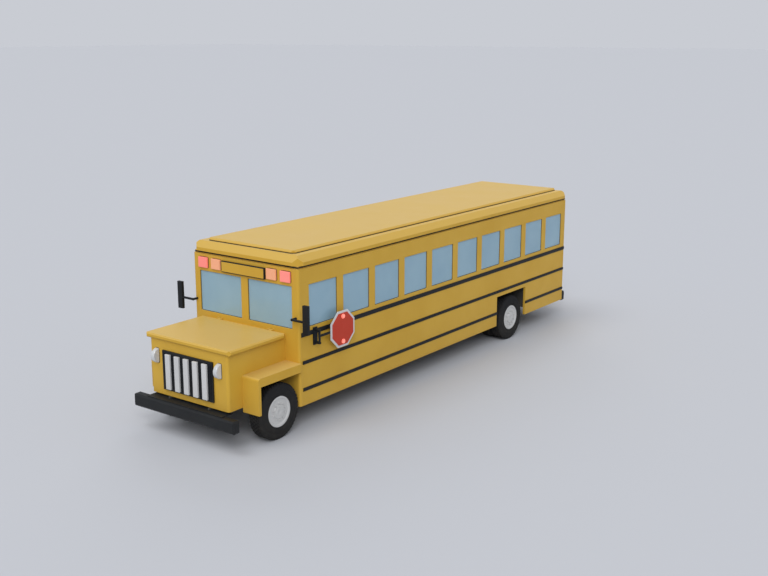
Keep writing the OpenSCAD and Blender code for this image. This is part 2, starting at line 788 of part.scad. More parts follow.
module tyre(x) { spun_x(x) tyre_outline(); }

// Rim barrel and dished disc of one wheel in radius and X, its face towards +X
module wheel_outline() {
  h = tyre_w / 2;
  rim = rim_r - glass_gap;
  polygon([[rim - 17, -h + 10], [rim, -h + 10], [rim, h - 10], [rim - 4, h - 4], [rim - 34, h - 4],
    [rim - 52, h - 20], [122, h - 20], [114, h - 6], [0, h - 6], [0, h - 44],
    [rim - 62, h - 44], [rim - 40, h - 28], [rim - 17, h - 28]]);
}

module front_wheel() {
  difference() {
    union() {
      spun_x(wheel_x) wheel_outline();
      bar_x(wheel_x + 31, wheel_x + tyre_w / 2 - 10, 0, 0, 85);
    }
    bar_x(wheel_x, wheel_x + 92, 0, 0, 40 + fit);
  }
}

module rear_wheels() {
  h = tyre_w / 2;
  inner = wheel_x - tyre_w - 38;
  difference() {
    union() {
      spun_x(wheel_x) wheel_outline();
      spun_x(inner) wheel_outline();
      bar_x(inner - 60, wheel_x + h - 10, 0, 0, 105);
    }
    bar_x(inner - 100, wheel_x + 68, 0, 0, 55 + fit);
  }
}

// Axle places of the wheels on the left
module at_front() { at_body() translate([0, -front_axle_y, tyre_r]) children(); }
module at_rear() { at_body() translate([0, rear_axle_y, tyre_r]) children(); }

module rear_tyre_pair() { for (x = [wheel_x, wheel_x - tyre_w - 38]) tyre(x); }

module front_left_tyre() { color("#26272a") at_front() tyre(wheel_x); }
module front_left_wheel() { color("#b9babb") at_front() front_wheel(); }
module front_right_tyre() { color("#26272a") at_front() mirror([1, 0, 0]) tyre(wheel_x); }
module front_right_wheel() { color("#b9babb") at_front() mirror([1, 0, 0]) front_wheel(); }
module rear_left_tyres() { color("#26272a") at_rear() rear_tyre_pair(); }
module rear_left_wheels() { color("#b9babb") at_rear() rear_wheels(); }
module rear_right_tyres() { color("#26272a") at_rear() mirror([1, 0, 0]) rear_tyre_pair(); }
module rear_right_wheels() { color("#b9babb") at_rear() mirror([1, 0, 0]) rear_wheels(); }

frame_rails();
crossmembers();
floor();
wheel_wells();
entry_steps();
left_side();
right_side();
door_frame();
front_wall();
rear_wall();
roof();
window_glass();
rub_rails();
nose();
grille_panel();
grille_bars();
headlamps();
fenders();
bumpers();
red_lamps();
amber_lamps();
sign_box();
sign_face();
mirrors();
stop_bracket();
engine();
bored_front_axle();  // front_axle
rear_axle();
drive_shaft();
leaf_springs();
fuel_tank();
exhaust();
seats();
dashboard();
tow_eyes();
hood_lid();
stop_arm();
stop_plate();
stop_face();
front_leaf();
front_leaf_glass();
rear_leaf();
rear_leaf_glass();
exit_door();
exit_glass();
left_knuckle();
right_knuckle();
tie_rod();
front_left_tyre();
front_left_wheel();
front_right_tyre();
front_right_wheel();
rear_left_tyres();
rear_left_wheels();
rear_right_tyres();
rear_right_wheels();
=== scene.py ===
"""Looks of a full-size conventional school bus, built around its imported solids.

Every piece is in metres in the bus's own frame: the bus faces -Y, its left side is +X
and it stands on Z = 0.
"""

import json
import logging
import math
from collections.abc import Callable, Iterable
from dataclasses import dataclass, field
from enum import Enum

import bmesh
import bpy
from mathutils import Matrix, Vector

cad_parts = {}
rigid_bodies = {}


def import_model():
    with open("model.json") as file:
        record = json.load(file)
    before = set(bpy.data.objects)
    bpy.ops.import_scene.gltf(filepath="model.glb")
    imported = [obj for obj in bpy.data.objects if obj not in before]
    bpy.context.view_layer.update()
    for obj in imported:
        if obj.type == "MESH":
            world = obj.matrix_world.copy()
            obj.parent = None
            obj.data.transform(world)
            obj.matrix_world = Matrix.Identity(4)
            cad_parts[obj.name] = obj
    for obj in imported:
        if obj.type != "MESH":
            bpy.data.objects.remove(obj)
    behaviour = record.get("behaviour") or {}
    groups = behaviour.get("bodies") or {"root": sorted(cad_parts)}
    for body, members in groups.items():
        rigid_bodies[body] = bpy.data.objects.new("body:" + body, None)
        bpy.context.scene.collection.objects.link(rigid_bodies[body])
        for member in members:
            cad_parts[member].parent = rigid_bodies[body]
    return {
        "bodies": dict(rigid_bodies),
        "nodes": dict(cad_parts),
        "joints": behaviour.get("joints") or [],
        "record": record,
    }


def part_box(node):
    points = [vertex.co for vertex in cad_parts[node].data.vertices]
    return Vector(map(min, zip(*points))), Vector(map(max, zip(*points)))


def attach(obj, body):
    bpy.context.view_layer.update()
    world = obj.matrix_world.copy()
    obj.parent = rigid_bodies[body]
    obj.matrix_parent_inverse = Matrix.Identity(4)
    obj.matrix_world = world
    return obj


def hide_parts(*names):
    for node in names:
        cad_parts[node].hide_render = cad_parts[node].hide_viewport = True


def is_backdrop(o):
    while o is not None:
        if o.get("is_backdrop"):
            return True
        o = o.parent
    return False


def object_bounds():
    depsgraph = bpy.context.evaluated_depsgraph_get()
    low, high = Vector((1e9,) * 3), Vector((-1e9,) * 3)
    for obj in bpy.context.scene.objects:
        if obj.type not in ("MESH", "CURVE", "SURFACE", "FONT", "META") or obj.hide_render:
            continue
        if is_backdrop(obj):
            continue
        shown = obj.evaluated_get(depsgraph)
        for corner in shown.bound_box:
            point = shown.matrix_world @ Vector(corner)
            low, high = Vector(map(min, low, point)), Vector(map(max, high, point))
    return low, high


LOG = logging.getLogger("school_bus")
MM = 0.001
# Corners this near a face lie on it
FLUSH = 0.002
Box = tuple[Vector, Vector]
Loop = list[Vector]


def linear(code: str, alpha: float = 1.0) -> tuple[float, float, float, float]:
    """Turns an sRGB hex colour into a linear one.

    Args:
        code: Colour as six hex digits after a hash sign.
        alpha: Fourth value of the result.

    Returns:
        Red, green, blue and alpha in linear light.
    """
    parts = [int(code[i:i + 2], 16) / 255 for i in (1, 3, 5)]
    red, green, blue = (p / 12.92 if p <= 0.04045 else ((p + 0.055) / 1.055) ** 2.4 for p in parts)
    return red, green, blue, alpha


def add_node(tree: bpy.types.NodeTree, kind: str, settings: dict | None = None,
             inputs: dict | None = None) -> bpy.types.Node:
    """Adds a node with its settings and links.

    Args:
        tree: Shader or geometry tree that takes the node.
        kind: Blender's name of the node's type.
        settings: Values of the node's own properties.
        inputs: Values of its sockets, or the sockets that feed them, by name or number.

    Returns:
        The new node.
    """
    made = tree.nodes.new(kind)
    for name, value in (settings or {}).items():
        setattr(made, name, value)
    for name, value in (inputs or {}).items():
        socket = made.inputs[name]
        if isinstance(value, bpy.types.NodeSocket):
            tree.links.new(value, socket)
        else:
            socket.default_value = value
    return made


class Pattern(Enum):
    """How a surface was made, which sets the form of its relief."""

    SPRAYED = "orange peel of a sprayed coat"
    GRAINED = "leather grain pressed into a sheet"
    CAST = "sandy skin of a casting"
    RIBBED = "parallel ribs across the bus"
    FLUTED = "upright flutes of a pressed lens"
    MOULDED = "fine matt skin of moulded rubber"
    DRAWN = "long streaks of rolled metal"


class Axis(Enum):
    """Direction that a surface faces or a row runs in."""

    X = 0
    Y = 1
    Z = 2


@dataclass(frozen=True)
class Finish:
    """A surface finish, made as a procedural material on Object coordinates.

    Attributes:
        name: What the real material is and how its surface was made.
        colour: Main colour.
        drift: Colour that broad patches of it drift to.
        pattern: Form of the relief.
        pitch_mm: Spacing of the relief.
        relief_mm: Depth of the relief.
        roughness: Mean roughness.
        metallic: 1 for bare metal.
        coat: Weight of the clear coat.
        dust: How much road dust lies low on the surface.
        edge: Colour of worn edges, or an empty text.
        round_mm: Radius at which sharp edges catch the light.
        glow: Strength of the light behind a lens.
        alpha: Share of light that doesn't pass straight through.
        gloss: Strength of the reflections off a surface that isn't metal.
        painted_top_light: Colour that upper faces are mixed towards as a painted highlight, standing in for
            light from above, or an empty text.
    """

    name: str
    colour: str
    drift: str
    pattern: Pattern
    pitch_mm: float
    relief_mm: float
    roughness: float
    metallic: float = 0.0
    coat: float = 0.0
    dust: float = 0.0
    edge: str = ""
    round_mm: float = 0.0
    glow: float = 0.0
    alpha: float = 1.0
    gloss: float = 0.5
    painted_top_light: str = ""

    def make(self) -> bpy.types.Material:
        """Builds the material's node tree.

        Returns:
            The material.
        """
        material = bpy.data.materials.new(self.name)
        material.use_nodes = True
        tree = material.node_tree
        shader = tree.nodes["Principled BSDF"]
        place = add_node(tree, "ShaderNodeTexCoord").outputs["Object"]
        broad = add_node(tree, "ShaderNodeTexNoise", inputs={"Vector": place, "Scale": 1.3, "Detail": 5.0})
        tone = self.toned(tree, place, broad.outputs["Fac"])
        tree.links.new(tone, shader.inputs["Base Color"])
        rough = add_node(tree, "ShaderNodeMapRange", inputs={
            "Value": broad.outputs["Fac"], "From Min": 0.3, "From Max": 0.7,
            "To Min": self.roughness * 0.86, "To Max": min(self.roughness * 1.14, 1.0)})
        tree.links.new(rough.outputs["Result"], shader.inputs["Roughness"])
        bump = add_node(tree, "ShaderNodeBump", inputs={
            "Strength": 0.7, "Distance": self.relief_mm * MM, "Height": self.relief(tree, place)})
        if self.round_mm:
            soft = add_node(tree, "ShaderNodeBevel", {"samples": 4}, {"Radius": self.round_mm * MM})
            tree.links.new(soft.outputs["Normal"], bump.inputs["Normal"])
        tree.links.new(bump.outputs["Normal"], shader.inputs["Normal"])
        shader.inputs["Metallic"].default_value = self.metallic
        shader.inputs["Specular IOR Level"].default_value = self.gloss
        shader.inputs["Coat Weight"].default_value = self.coat
        shader.inputs["Coat Roughness"].default_value = 0.18
        shader.inputs["Alpha"].default_value = self.alpha
        if self.glow:
            shader.inputs["Emission Color"].default_value = linear(self.colour)
            shader.inputs["Emission Strength"].default_value = self.glow
        return material

    def toned(self, tree: bpy.types.NodeTree, place: bpy.types.NodeSocket,
              patches: bpy.types.NodeSocket) -> bpy.types.NodeSocket:
        """Mixes the colour with its drift, a painted highlight on upper faces, dust and worn edges.

        Args:
            tree: The material's tree.
            place: Object coordinates.
            patches: Broad noise.

        Returns:
            The socket that holds the colour.
        """
        spread = add_node(tree, "ShaderNodeMapRange", inputs={
            "Value": patches, "From Min": 0.35, "From Max": 0.65})
        tone = add_node(tree, "ShaderNodeMix", {"data_type": "RGBA"}, {
            0: spread.outputs["Result"], 6: linear(self.colour), 7: linear(self.drift)}).outputs[2]
        # Painted highlight: faces turned upwards are mixed towards a paler colour, standing in for light
        # from above
        if self.painted_top_light:
            facing = add_node(tree, "ShaderNodeTexCoord").outputs["Normal"]
            rise = add_node(tree, "ShaderNodeSeparateXYZ", inputs={"Vector": facing}).outputs["Z"]
            top_light_peak = add_node(tree, "ShaderNodeMapRange", inputs={
                "Value": patches, "From Min": 0.3, "From Max": 0.7, "To Min": 0.72, "To Max": 1.0})
            top_light_mask = add_node(tree, "ShaderNodeMapRange", inputs={
                "Value": rise, "From Min": 0.4, "From Max": 0.95, "To Max": top_light_peak.outputs["Result"]})
            tone = add_node(tree, "ShaderNodeMix", {"data_type": "RGBA"}, {
                0: top_light_mask.outputs["Result"], 6: tone, 7: linear(self.painted_top_light)}).outputs[2]
        if self.dust:
            height = add_node(tree, "ShaderNodeSeparateXYZ", inputs={"Vector": place}).outputs["Z"]
            low = add_node(tree, "ShaderNodeMapRange", inputs={
                "Value": height, "From Min": 0.3, "From Max": 1.15, "To Min": self.dust, "To Max": 0.0})
            specks = add_node(tree, "ShaderNodeTexNoise", inputs={
                "Vector": place, "Scale": 9.0, "Detail": 8.0})
            veil = add_node(tree, "ShaderNodeMath", {"operation": "MULTIPLY"}, {
                0: low.outputs["Result"], 1: specks.outputs["Fac"]})
            tone = add_node(tree, "ShaderNodeMix", {"data_type": "RGBA"}, {
                0: veil.outputs["Value"], 6: tone, 7: linear(ROAD_DUST)}).outputs[2]
        if self.edge:
            soft = add_node(tree, "ShaderNodeBevel", {"samples": 4}, {"Radius": self.round_mm * MM})
            flat = add_node(tree, "ShaderNodeNewGeometry").outputs["Normal"]
            turn = add_node(tree, "ShaderNodeVectorMath", {"operation": "DOT_PRODUCT"}, {
                0: soft.outputs["Normal"], 1: flat}).outputs["Value"]
            worn = add_node(tree, "ShaderNodeMapRange", inputs={
                "Value": turn, "From Min": 0.98, "From Max": 0.75, "To Max": 0.5})
            tone = add_node(tree, "ShaderNodeMix", {"data_type": "RGBA"}, {
                0: worn.outputs["Result"], 6: tone, 7: linear(self.edge)}).outputs[2]
        return tone

    def relief(self, tree: bpy.types.NodeTree, place: bpy.types.NodeSocket) -> bpy.types.NodeSocket:
        """Builds the height pattern of the surface.

        Args:
            tree: The material's tree.
            place: Object coordinates.

        Returns:
            The socket that holds the height.
        """
        scale = 1000 / self.pitch_mm
        if self.pattern is Pattern.GRAINED:
            cells = add_node(tree, "ShaderNodeTexVoronoi", {"feature": "DISTANCE_TO_EDGE"}, {
                "Vector": place, "Scale": scale})
            return cells.outputs["Distance"]
        if self.pattern in (Pattern.RIBBED, Pattern.FLUTED):
            # A wave's bands lie a twentieth of a turn apart at scale 1
            across = "X" if self.pattern is Pattern.FLUTED else "Y"
            bands = add_node(tree, "ShaderNodeTexWave", {"bands_direction": across}, {
                "Vector": place, "Scale": scale * math.tau / 20, "Distortion": 0.0})
            return bands.outputs["Fac"]
        if self.pattern is Pattern.DRAWN:
            place = add_node(tree, "ShaderNodeMapping", inputs={
                "Vector": place, "Scale": (1.0, 0.06, 1.0)}).outputs["Vector"]
        detail = 9.0 if self.pattern is Pattern.CAST else 3.0
        skin = add_node(tree, "ShaderNodeTexNoise", inputs={
            "Vector": place, "Scale": scale, "Detail": detail})
        return skin.outputs["Fac"]


ROAD_DUST = "#8F8674"

# Sprayed enamel: faint orange peel, drawn at 22 mm because the real 3 mm is too fine to show,
# and a painted highlight that makes upper faces paler, standing in for the light from above
YELLOW_ENAMEL = Finish("sprayed_yellow_enamel", "#D2A83E", "#CDA23A", Pattern.SPRAYED, 22, 0.25, 0.46,
                       dust=0.12, edge="#DDBB66", round_mm=6.0, gloss=0.22, painted_top_light="#D7B566")
# Satin black enamel on steel trim: dark with soft broad highlights
BLACK_SATIN = Finish("satin_black_enamel", "#181A1E", "#1E2124", Pattern.SPRAYED, 18, 0.3, 0.5,
                     dust=0.05, edge="#2E3136", round_mm=5.0, gloss=0.2)
# Black chassis paint: duller, dusty low down
CHASSIS_BLACK = Finish("brushed_chassis_paint", "#26282B", "#303236", Pattern.CAST, 14, 0.6, 0.66,
                       dust=0.45, edge="#45474A", round_mm=4.0)
# Rubber underbody coating: sprayed thick and pebbled
UNDERSEAL = Finish("sprayed_rubber_underseal", "#1F2022", "#292A2C", Pattern.CAST, 10, 1.2, 0.85, dust=0.4)
# Dull zinc-plated steel sheet with rolling streaks
PLATED_STEEL = Finish("rolled_plated_steel", "#8E9194", "#76797C", Pattern.DRAWN, 4, 0.2, 0.42, metallic=1.0,
                      dust=0.3, round_mm=4.0)
# Grey-painted cast iron: sandy skin
ENGINE_IRON = Finish("sand_cast_iron", "#6C6F72", "#585B5E", Pattern.CAST, 7, 1.0, 0.7,
                     dust=0.2, round_mm=6.0)
# Ribbed rubber matting with ribs across the aisle
RIBBED_MAT = Finish("ribbed_rubber_mat", "#2E3033", "#37393C", Pattern.RIBBED, 16, 2.0, 0.75)
# Tinted safety glass: pale blue with a faint draw
TINTED_GLASS = Finish("float_safety_glass", "#A8CBDE", "#A0C4D9", Pattern.DRAWN, 60, 0.15, 0.12,
                      coat=0.2, alpha=0.7)
# Light grey wheel and grille paint: satin, slightly dusty
GREY_ENAMEL = Finish("sprayed_grey_enamel", "#D0D0D0", "#C8C8C8", Pattern.SPRAYED, 16, 0.25, 0.45,
                     dust=0.12, edge="#DDDDDD", round_mm=4.0)
# Pressed clear lens over a bright reflector: upright flutes
CLEAR_LENS = Finish("pressed_clear_lens", "#D0D2D4", "#C6C8CB", Pattern.FLUTED, 14, 1.2, 0.2,
                    coat=0.4, round_mm=4.0)
# Moulded red lens, lit from behind
RED_LENS = Finish("moulded_red_lens", "#F2867B", "#EC7A70", Pattern.FLUTED, 16, 1.4, 0.28, coat=0.3,
                  glow=0.28, round_mm=6.0)
# The same lens over the stop arm's bright flashing lamps
STOP_LENS = Finish("moulded_flasher_lens", "#FF8F7E", "#FB8675", Pattern.FLUTED, 12, 1.0, 0.28,
                   coat=0.3, glow=0.6)
# Moulded amber lens, lit from behind
AMBER_LENS = Finish("moulded_amber_lens", "#E8A27A", "#E39A72", Pattern.FLUTED, 16, 1.4, 0.28, coat=0.3,
                    glow=0.22, round_mm=6.0)
# White enamelled sign sheet
WHITE_SHEET = Finish("enamelled_white_sheet", "#D6D6D8", "#CDCDCF", Pattern.SPRAYED, 25, 0.2, 0.4,
                     round_mm=3.0)
# Red enamelled sign sheet
RED_SHEET = Finish("enamelled_red_sheet", "#C63E26", "#BE3922", Pattern.SPRAYED, 25, 0.2, 0.42, round_mm=3.0,
                   gloss=0.3)
# Upholstery vinyl: leather grain, drawn at 9 mm because the real 2 mm is too fine to show
GREEN_VINYL = Finish("grained_green_vinyl", "#3E4A40", "#35413A", Pattern.GRAINED, 9, 0.8, 0.52, coat=0.1)
# Vinyl piping: same sheet rolled over cord, a shade lighter
PIPING_VINYL = Finish("rolled_vinyl_piping", "#55625A", "#4C5951", Pattern.MOULDED, 6, 0.3, 0.5)
# Dashboard moulding: coarse pressed grain
DASH_PLASTIC = Finish("grained_dash_moulding", "#33363A", "#2B2E32", Pattern.GRAINED, 7, 0.6, 0.62,
                      round_mm=6.0)
# Tyre rubber: matt, greyed by dust
TYRE_RUBBER = Finish("moulded_tyre_rubber", "#1A1B1E", "#212225", Pattern.MOULDED, 5, 0.5, 0.82, dust=0.1,
                     gloss=0.15)
# Extruded window rubber: matt black with faint lengthwise lines
SEAL_RUBBER = Finish("extruded_seal_rubber", "#1E2023", "#26282B", Pattern.DRAWN, 4, 0.3, 0.72, gloss=0.25)
# Silvered mirror glass
MIRROR_GLASS = Finish("silvered_mirror_glass", "#D4D8DB", "#CBD0D4", Pattern.DRAWN, 80, 0.05, 0.06,
                      metallic=1.0)
# Zinc-plated nuts and bolts
PLATED_NUTS = Finish("plated_steel_nuts", "#A4A6A8", "#8F9193", Pattern.CAST, 6, 0.3, 0.4, metallic=1.0)
# Anodised step edging: bright aluminium with fine lengthwise grooves
STEP_EDGING = Finish("grooved_aluminium_edging", "#B4B6B8", "#A6A8AA", Pattern.DRAWN, 3, 0.5, 0.38,
                     metallic=1.0)


class Paints:
    """Materials by finish, each made once."""

    def __init__(self) -> None:
        """Starts with none made."""
        self.made: dict[str, bpy.types.Material] = {}

    def get(self, finish: Finish) -> bpy.types.Material:
        """Gives a finish's material, made on its first use.

        Args:
            finish: The finish.

        Returns:
            Its material.
        """
        if finish.name not in self.made:
            self.made[finish.name] = finish.make()
        return self.made[finish.name]


class Solids:
    """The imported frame, and what its nodes' solids measure."""

    def __init__(self) -> None:
        """Loads the frame and keeps its box."""
        self.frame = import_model()
        self.cad_box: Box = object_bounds()

    def dress(self, material: bpy.types.Material, *names: str) -> None:
        """Gives nodes a material.

        Args:
            material: The material.
            names: The nodes' names.
        """
        for name in names:
            mesh = self.frame["nodes"][name].data
            mesh.materials.clear()
            mesh.materials.append(material)
            LOG.info("node %s: %s", name, material.name)

    def boxes(self, name: str) -> list[Box]:
        """Measures each separate solid of a node.

        Args:
            name: The node's name.

        Returns:
            Lowest and highest corner of each solid, ordered along Y and then X.
        """
        mesh = self.frame["nodes"][name].data
        keys = [tuple(round(c, 5) for c in v.co) for v in mesh.vertices]
        lead = {key: key for key in keys}

        def root(key: tuple) -> tuple:
            """Follows a corner's leads to their end."""
            while lead[key] != key:
                lead[key] = lead[lead[key]]
                key = lead[key]
            return key

        for face in mesh.polygons:
            first = root(keys[face.vertices[0]])
            for index in face.vertices[1:]:
                lead[root(keys[index])] = first
        groups: dict[tuple, list[tuple]] = {}
        for key in lead:
            groups.setdefault(root(key), []).append(key)
        found = [corners(Vector(key) for key in group) for group in groups.values()]
        return sorted(found, key=lambda box: (round(box[0].y, 3), round(box[0].x, 3), round(box[0].z, 3)))

    def part_box(self, name: str, test: Callable[[Vector], bool]) -> Box:
        """Measures the corners of a node that pass a test.

        Args:
            name: The node's name.
            test: Says whether a corner counts.

        Returns:
            Their lowest and highest corner.
        """
        return corners(v.co for v in self.frame["nodes"][name].data.vertices if test(v.co))


def corners(points: Iterable[Vector]) -> Box:
    """Measures points.

    Args:
        points: The points.

    Returns:
        Their lowest and highest corner.
    """
    rows = list(zip(*points))
    return Vector(min(row) for row in rows), Vector(max(row) for row in rows)


def rectangle(lo: Vector, hi: Vector, facing: Axis, level: float, inset: float = 0.0) -> Loop:
    """Draws a rectangle round a box's face.

    Args:
        lo: The box's lowest corner.
        hi: Its highest corner.
        facing: Axis across the rectangle.
        level: Its place on that axis.
        inset: How far it lies inside the box.

    Returns:
        Its four corners in turn.
    """
    first, second = (axis for axis in range(3) if axis != facing.value)
    loop = []
    for a, b in ((0, 0), (1, 0), (1, 1), (0, 1)):
        point = Vector((0.0, 0.0, 0.0))
        point[facing.value] = level
        point[first] = hi[first] - inset if a else lo[first] + inset
        point[second] = hi[second] - inset if b else lo[second] + inset
        loop.append(point)
    return loop


def level_line(x: float, ends: tuple[float, float], z: float) -> Loop:
    """Draws a level line along the bus.

    Args:
        x: Its place across the bus.
        ends: Y of its two ends.
        z: Its height.

    Returns:
        Its two ends.
    """
    return [Vector((x, y, z)) for y in ends]


def finished(name: str, mesh: bpy.types.Mesh, material: bpy.types.Material, body: str,
             sharp_deg: float = 35.0) -> bpy.types.Object:
    """Makes a mesh a piece of the bus.

    Args:
        name: The piece's name.
        mesh: Its mesh, in the bus's frame.
        material: Its material.
        body: The body that it rides on.
        sharp_deg: Angle above which an edge stays sharp.

    Returns:
        The piece.
    """
    mesh.name = name
    mesh.materials.clear()
    mesh.materials.append(material)
    mesh.shade_smooth()
    mesh.set_sharp_from_angle(angle=math.radians(sharp_deg))
    piece = bpy.data.objects.new(name, mesh)
    bpy.context.scene.collection.objects.link(piece)
    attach(piece, body)
    LOG.info("piece %s on %s: %d faces", name, body, len(mesh.polygons))
    return piece


class Stock:
    """Raw mesh that a piece is cut, turned and bent from."""

    def __init__(self) -> None:
        """Starts empty."""
        self.bm = bmesh.new()

    def block(self, lo: Vector, hi: Vector, bevel: float = 0.0, segments: int = 2) -> None:
        """Adds a box with rounded edges.

        Args:
            lo: Lowest corner.
            hi: Highest corner.
            bevel: Radius of the edges.
            segments: Steps in each rounding.
        """
        lo, hi = Vector(lo), Vector(hi)
        place = Matrix.Translation((lo + hi) / 2) @ Matrix.Diagonal((hi - lo).to_4d())
        made = bmesh.ops.create_cube(self.bm, size=1.0, matrix=place)
        if bevel:
            edges = list({edge for vert in made["verts"] for edge in vert.link_edges})
            bmesh.ops.bevel(self.bm, geom=edges, offset=bevel, segments=segments, profile=0.5,
                            affect="EDGES")

    def turned(self, outline: list[tuple[float, float]], centre: Vector, side: int = 1,
               steps: int = 64) -> None:
        """Adds a body turned about an axis along X from a closed outline.

        Args:
            outline: Radius and X of each corner in turn.
            centre: Point of the axis that the outline's X starts from.
            side: 1 with X outwards to the left, -1 to the right.
            steps: Steps in a turn.
        """
        rings = []
        for step in range(steps):
            angle = math.tau * step / steps
            rings.append([self.bm.verts.new(centre + Vector((
                side * x, r * math.cos(angle), r * math.sin(angle)))) for r, x in outline])
        count = len(outline)
        for step in range(steps):
            here, there = rings[step], rings[(step + 1) % steps]
            for i in range(count):
                j = (i + 1) % count
                self.bm.faces.new((here[i], here[j], there[j], there[i]))

    def tube(self, path: Loop, radius: float, sides: int = 8) -> None:
        """Adds a round bar along a path with its ends closed.

        Args:
            path: Points of its centre line.
            radius: Radius of the bar.
            sides: Steps round it.
        """
        rings = []
        for i, point in enumerate(path):
            before, after = path[max(i - 1, 0)], path[min(i + 1, len(path) - 1)]
            turn = (after - before).to_track_quat("Z", "Y")
            rings.append([self.bm.verts.new(point + turn @ Vector((
                radius * math.cos(math.tau * k / sides), radius * math.sin(math.tau * k / sides), 0.0)))
                for k in range(sides)])
        for here, there in zip(rings, rings[1:]):
            for k in range(sides):
                j = (k + 1) % sides
                self.bm.faces.new((here[k], here[j], there[j], there[k]))
        self.bm.faces.new(reversed(rings[0]))
        self.bm.faces.new(rings[-1])

    def mesh(self) -> bpy.types.Mesh:
        """Turns the stock into a mesh with its faces outwards.

        Returns:
            The mesh.
        """
        bmesh.ops.recalc_face_normals(self.bm, faces=self.bm.faces[:])
        made = bpy.data.meshes.new("stock")
        self.bm.to_mesh(made)
        self.bm.free()
        return made


class Grower:
    """A Geometry Nodes tree with named sizes that grows a piece from guide lines."""

    title = "grower"
    sizes: dict[str, str] = {}

    def __init__(self) -> None:
        """Builds the tree with its sockets, ending in real geometry with a material."""
        tree = bpy.data.node_groups.new(self.title, "GeometryNodeTree")
        self.tree = tree
        self.ids: dict[str, str] = {}
        tree.interface.new_socket("Geometry", in_out="OUTPUT", socket_type="NodeSocketGeometry")
        for name, kind in {"Guide": "Geometry", **self.sizes, "Finish": "Material"}.items():
            socket = tree.interface.new_socket(name, in_out="INPUT", socket_type=f"NodeSocket{kind}")
            self.ids[name] = socket.identifier
        given = add_node(tree, "NodeGroupInput").outputs
        grown = self.wire(given)
        real = add_node(tree, "GeometryNodeRealizeInstances", inputs={"Geometry": grown})
        coated = add_node(tree, "GeometryNodeSetMaterial", inputs={
            "Geometry": real.outputs["Geometry"], "Material": given["Finish"]})
        add_node(tree, "NodeGroupOutput", inputs={"Geometry": coated.outputs["Geometry"]})

    def wire(self, given: bpy.types.NodeOutputs) -> bpy.types.NodeSocket:
        """Adds the nodes between the sizes and the grown geometry.

        Args:
            given: The tree's inputs by name.

        Returns:
            The socket that holds the grown geometry.
        """
        raise NotImplementedError

    def grow(self, name: str, guides: list[Loop], closed: bool, material: bpy.types.Material, body: str,
             slot: str = "", **sizes: float | int | Vector) -> bpy.types.Object:
        """Grows one piece and makes it a plain mesh.

        Args:
            name: The piece's name.
            guides: Lines that it follows.
            closed: Whether each line ends where it starts.
            material: Its material.
            body: The body that it rides on.
            slot: Not used.
            sizes: The tree's sizes, with _ for a blank.

        Returns:
            The piece.
        """
        seed = bpy.data.meshes.new(name + "_guide")
        points, edges = [], []
        for guide in guides:
            first = len(points)
            points.extend(guide)
            edges.extend((first + i, first + i + 1) for i in range(len(guide) - 1))
            if closed:
                edges.append((first + len(guide) - 1, first))
        seed.from_pydata(points, edges, [])
        holder = bpy.data.objects.new(name + "_guide", seed)
        bpy.context.scene.collection.objects.link(holder)
        grower = holder.modifiers.new(self.title, "NODES")
        grower.node_group = self.tree
        grower[self.ids["Finish"]] = material
        for size, value in sizes.items():
            grower[self.ids[size.replace("_", " ")]] = value
        graph = bpy.context.evaluated_depsgraph_get()
        mesh = bpy.data.meshes.new_from_object(holder.evaluated_get(graph))
        holder.modifiers.remove(grower)
        bpy.data.objects.remove(holder)
        return finished(name, mesh, material, body)


class RivetRows(Grower):
    """Rows of domed heads along guide lines."""

    title = "rivet_rows"
    sizes = {"Pitch": "Float", "Radius": "Float", "Crown": "Vector"}

    def wire(self, given: bpy.types.NodeOutputs) -> bpy.types.NodeSocket:
        """Sets a flattened ball at every pitch of each line."""
        line = add_node(self.tree, "GeometryNodeMeshToCurve", inputs={"Mesh": given["Guide"]})
        spots = add_node(self.tree, "GeometryNodeResampleCurve", {"mode": "LENGTH"}, {
            "Curve": line.outputs["Curve"], "Length": given["Pitch"]})
        head = add_node(self.tree, "GeometryNodeMeshUVSphere", inputs={
            "Segments": 8, "Rings": 4, "Radius": given["Radius"]})
        rows = add_node(self.tree, "GeometryNodeInstanceOnPoints", inputs={
            "Points": spots.outputs["Curve"], "Instance": head.outputs["Mesh"], "Scale": given["Crown"]})
        return rows.outputs["Instances"]


class BeadLines(Grower):
    """Round beads along guide lines, with rounded corners."""

    title = "bead_lines"
    sizes = {"Corner": "Float", "Radius": "Float"}

    def wire(self, given: bpy.types.NodeOutputs) -> bpy.types.NodeSocket:
        """Rounds each line's corners and draws a round section along it."""
        line = add_node(self.tree, "GeometryNodeMeshToCurve", inputs={"Mesh": given["Guide"]})
        eased = add_node(self.tree, "GeometryNodeFilletCurve", {"mode": "POLY"}, {
            "Curve": line.outputs["Curve"], "Count": 4, "Radius": given["Corner"], "Limit Radius": True})
        section = add_node(self.tree, "GeometryNodeCurvePrimitiveCircle", {"mode": "RADIUS"}, {
            "Resolution": 8, "Radius": given["Radius"]})
        bead = add_node(self.tree, "GeometryNodeCurveToMesh", inputs={
            "Curve": eased.outputs["Curve"], "Profile Curve": section.outputs["Curve"], "Fill Caps": True})
        return bead.outputs["Mesh"]


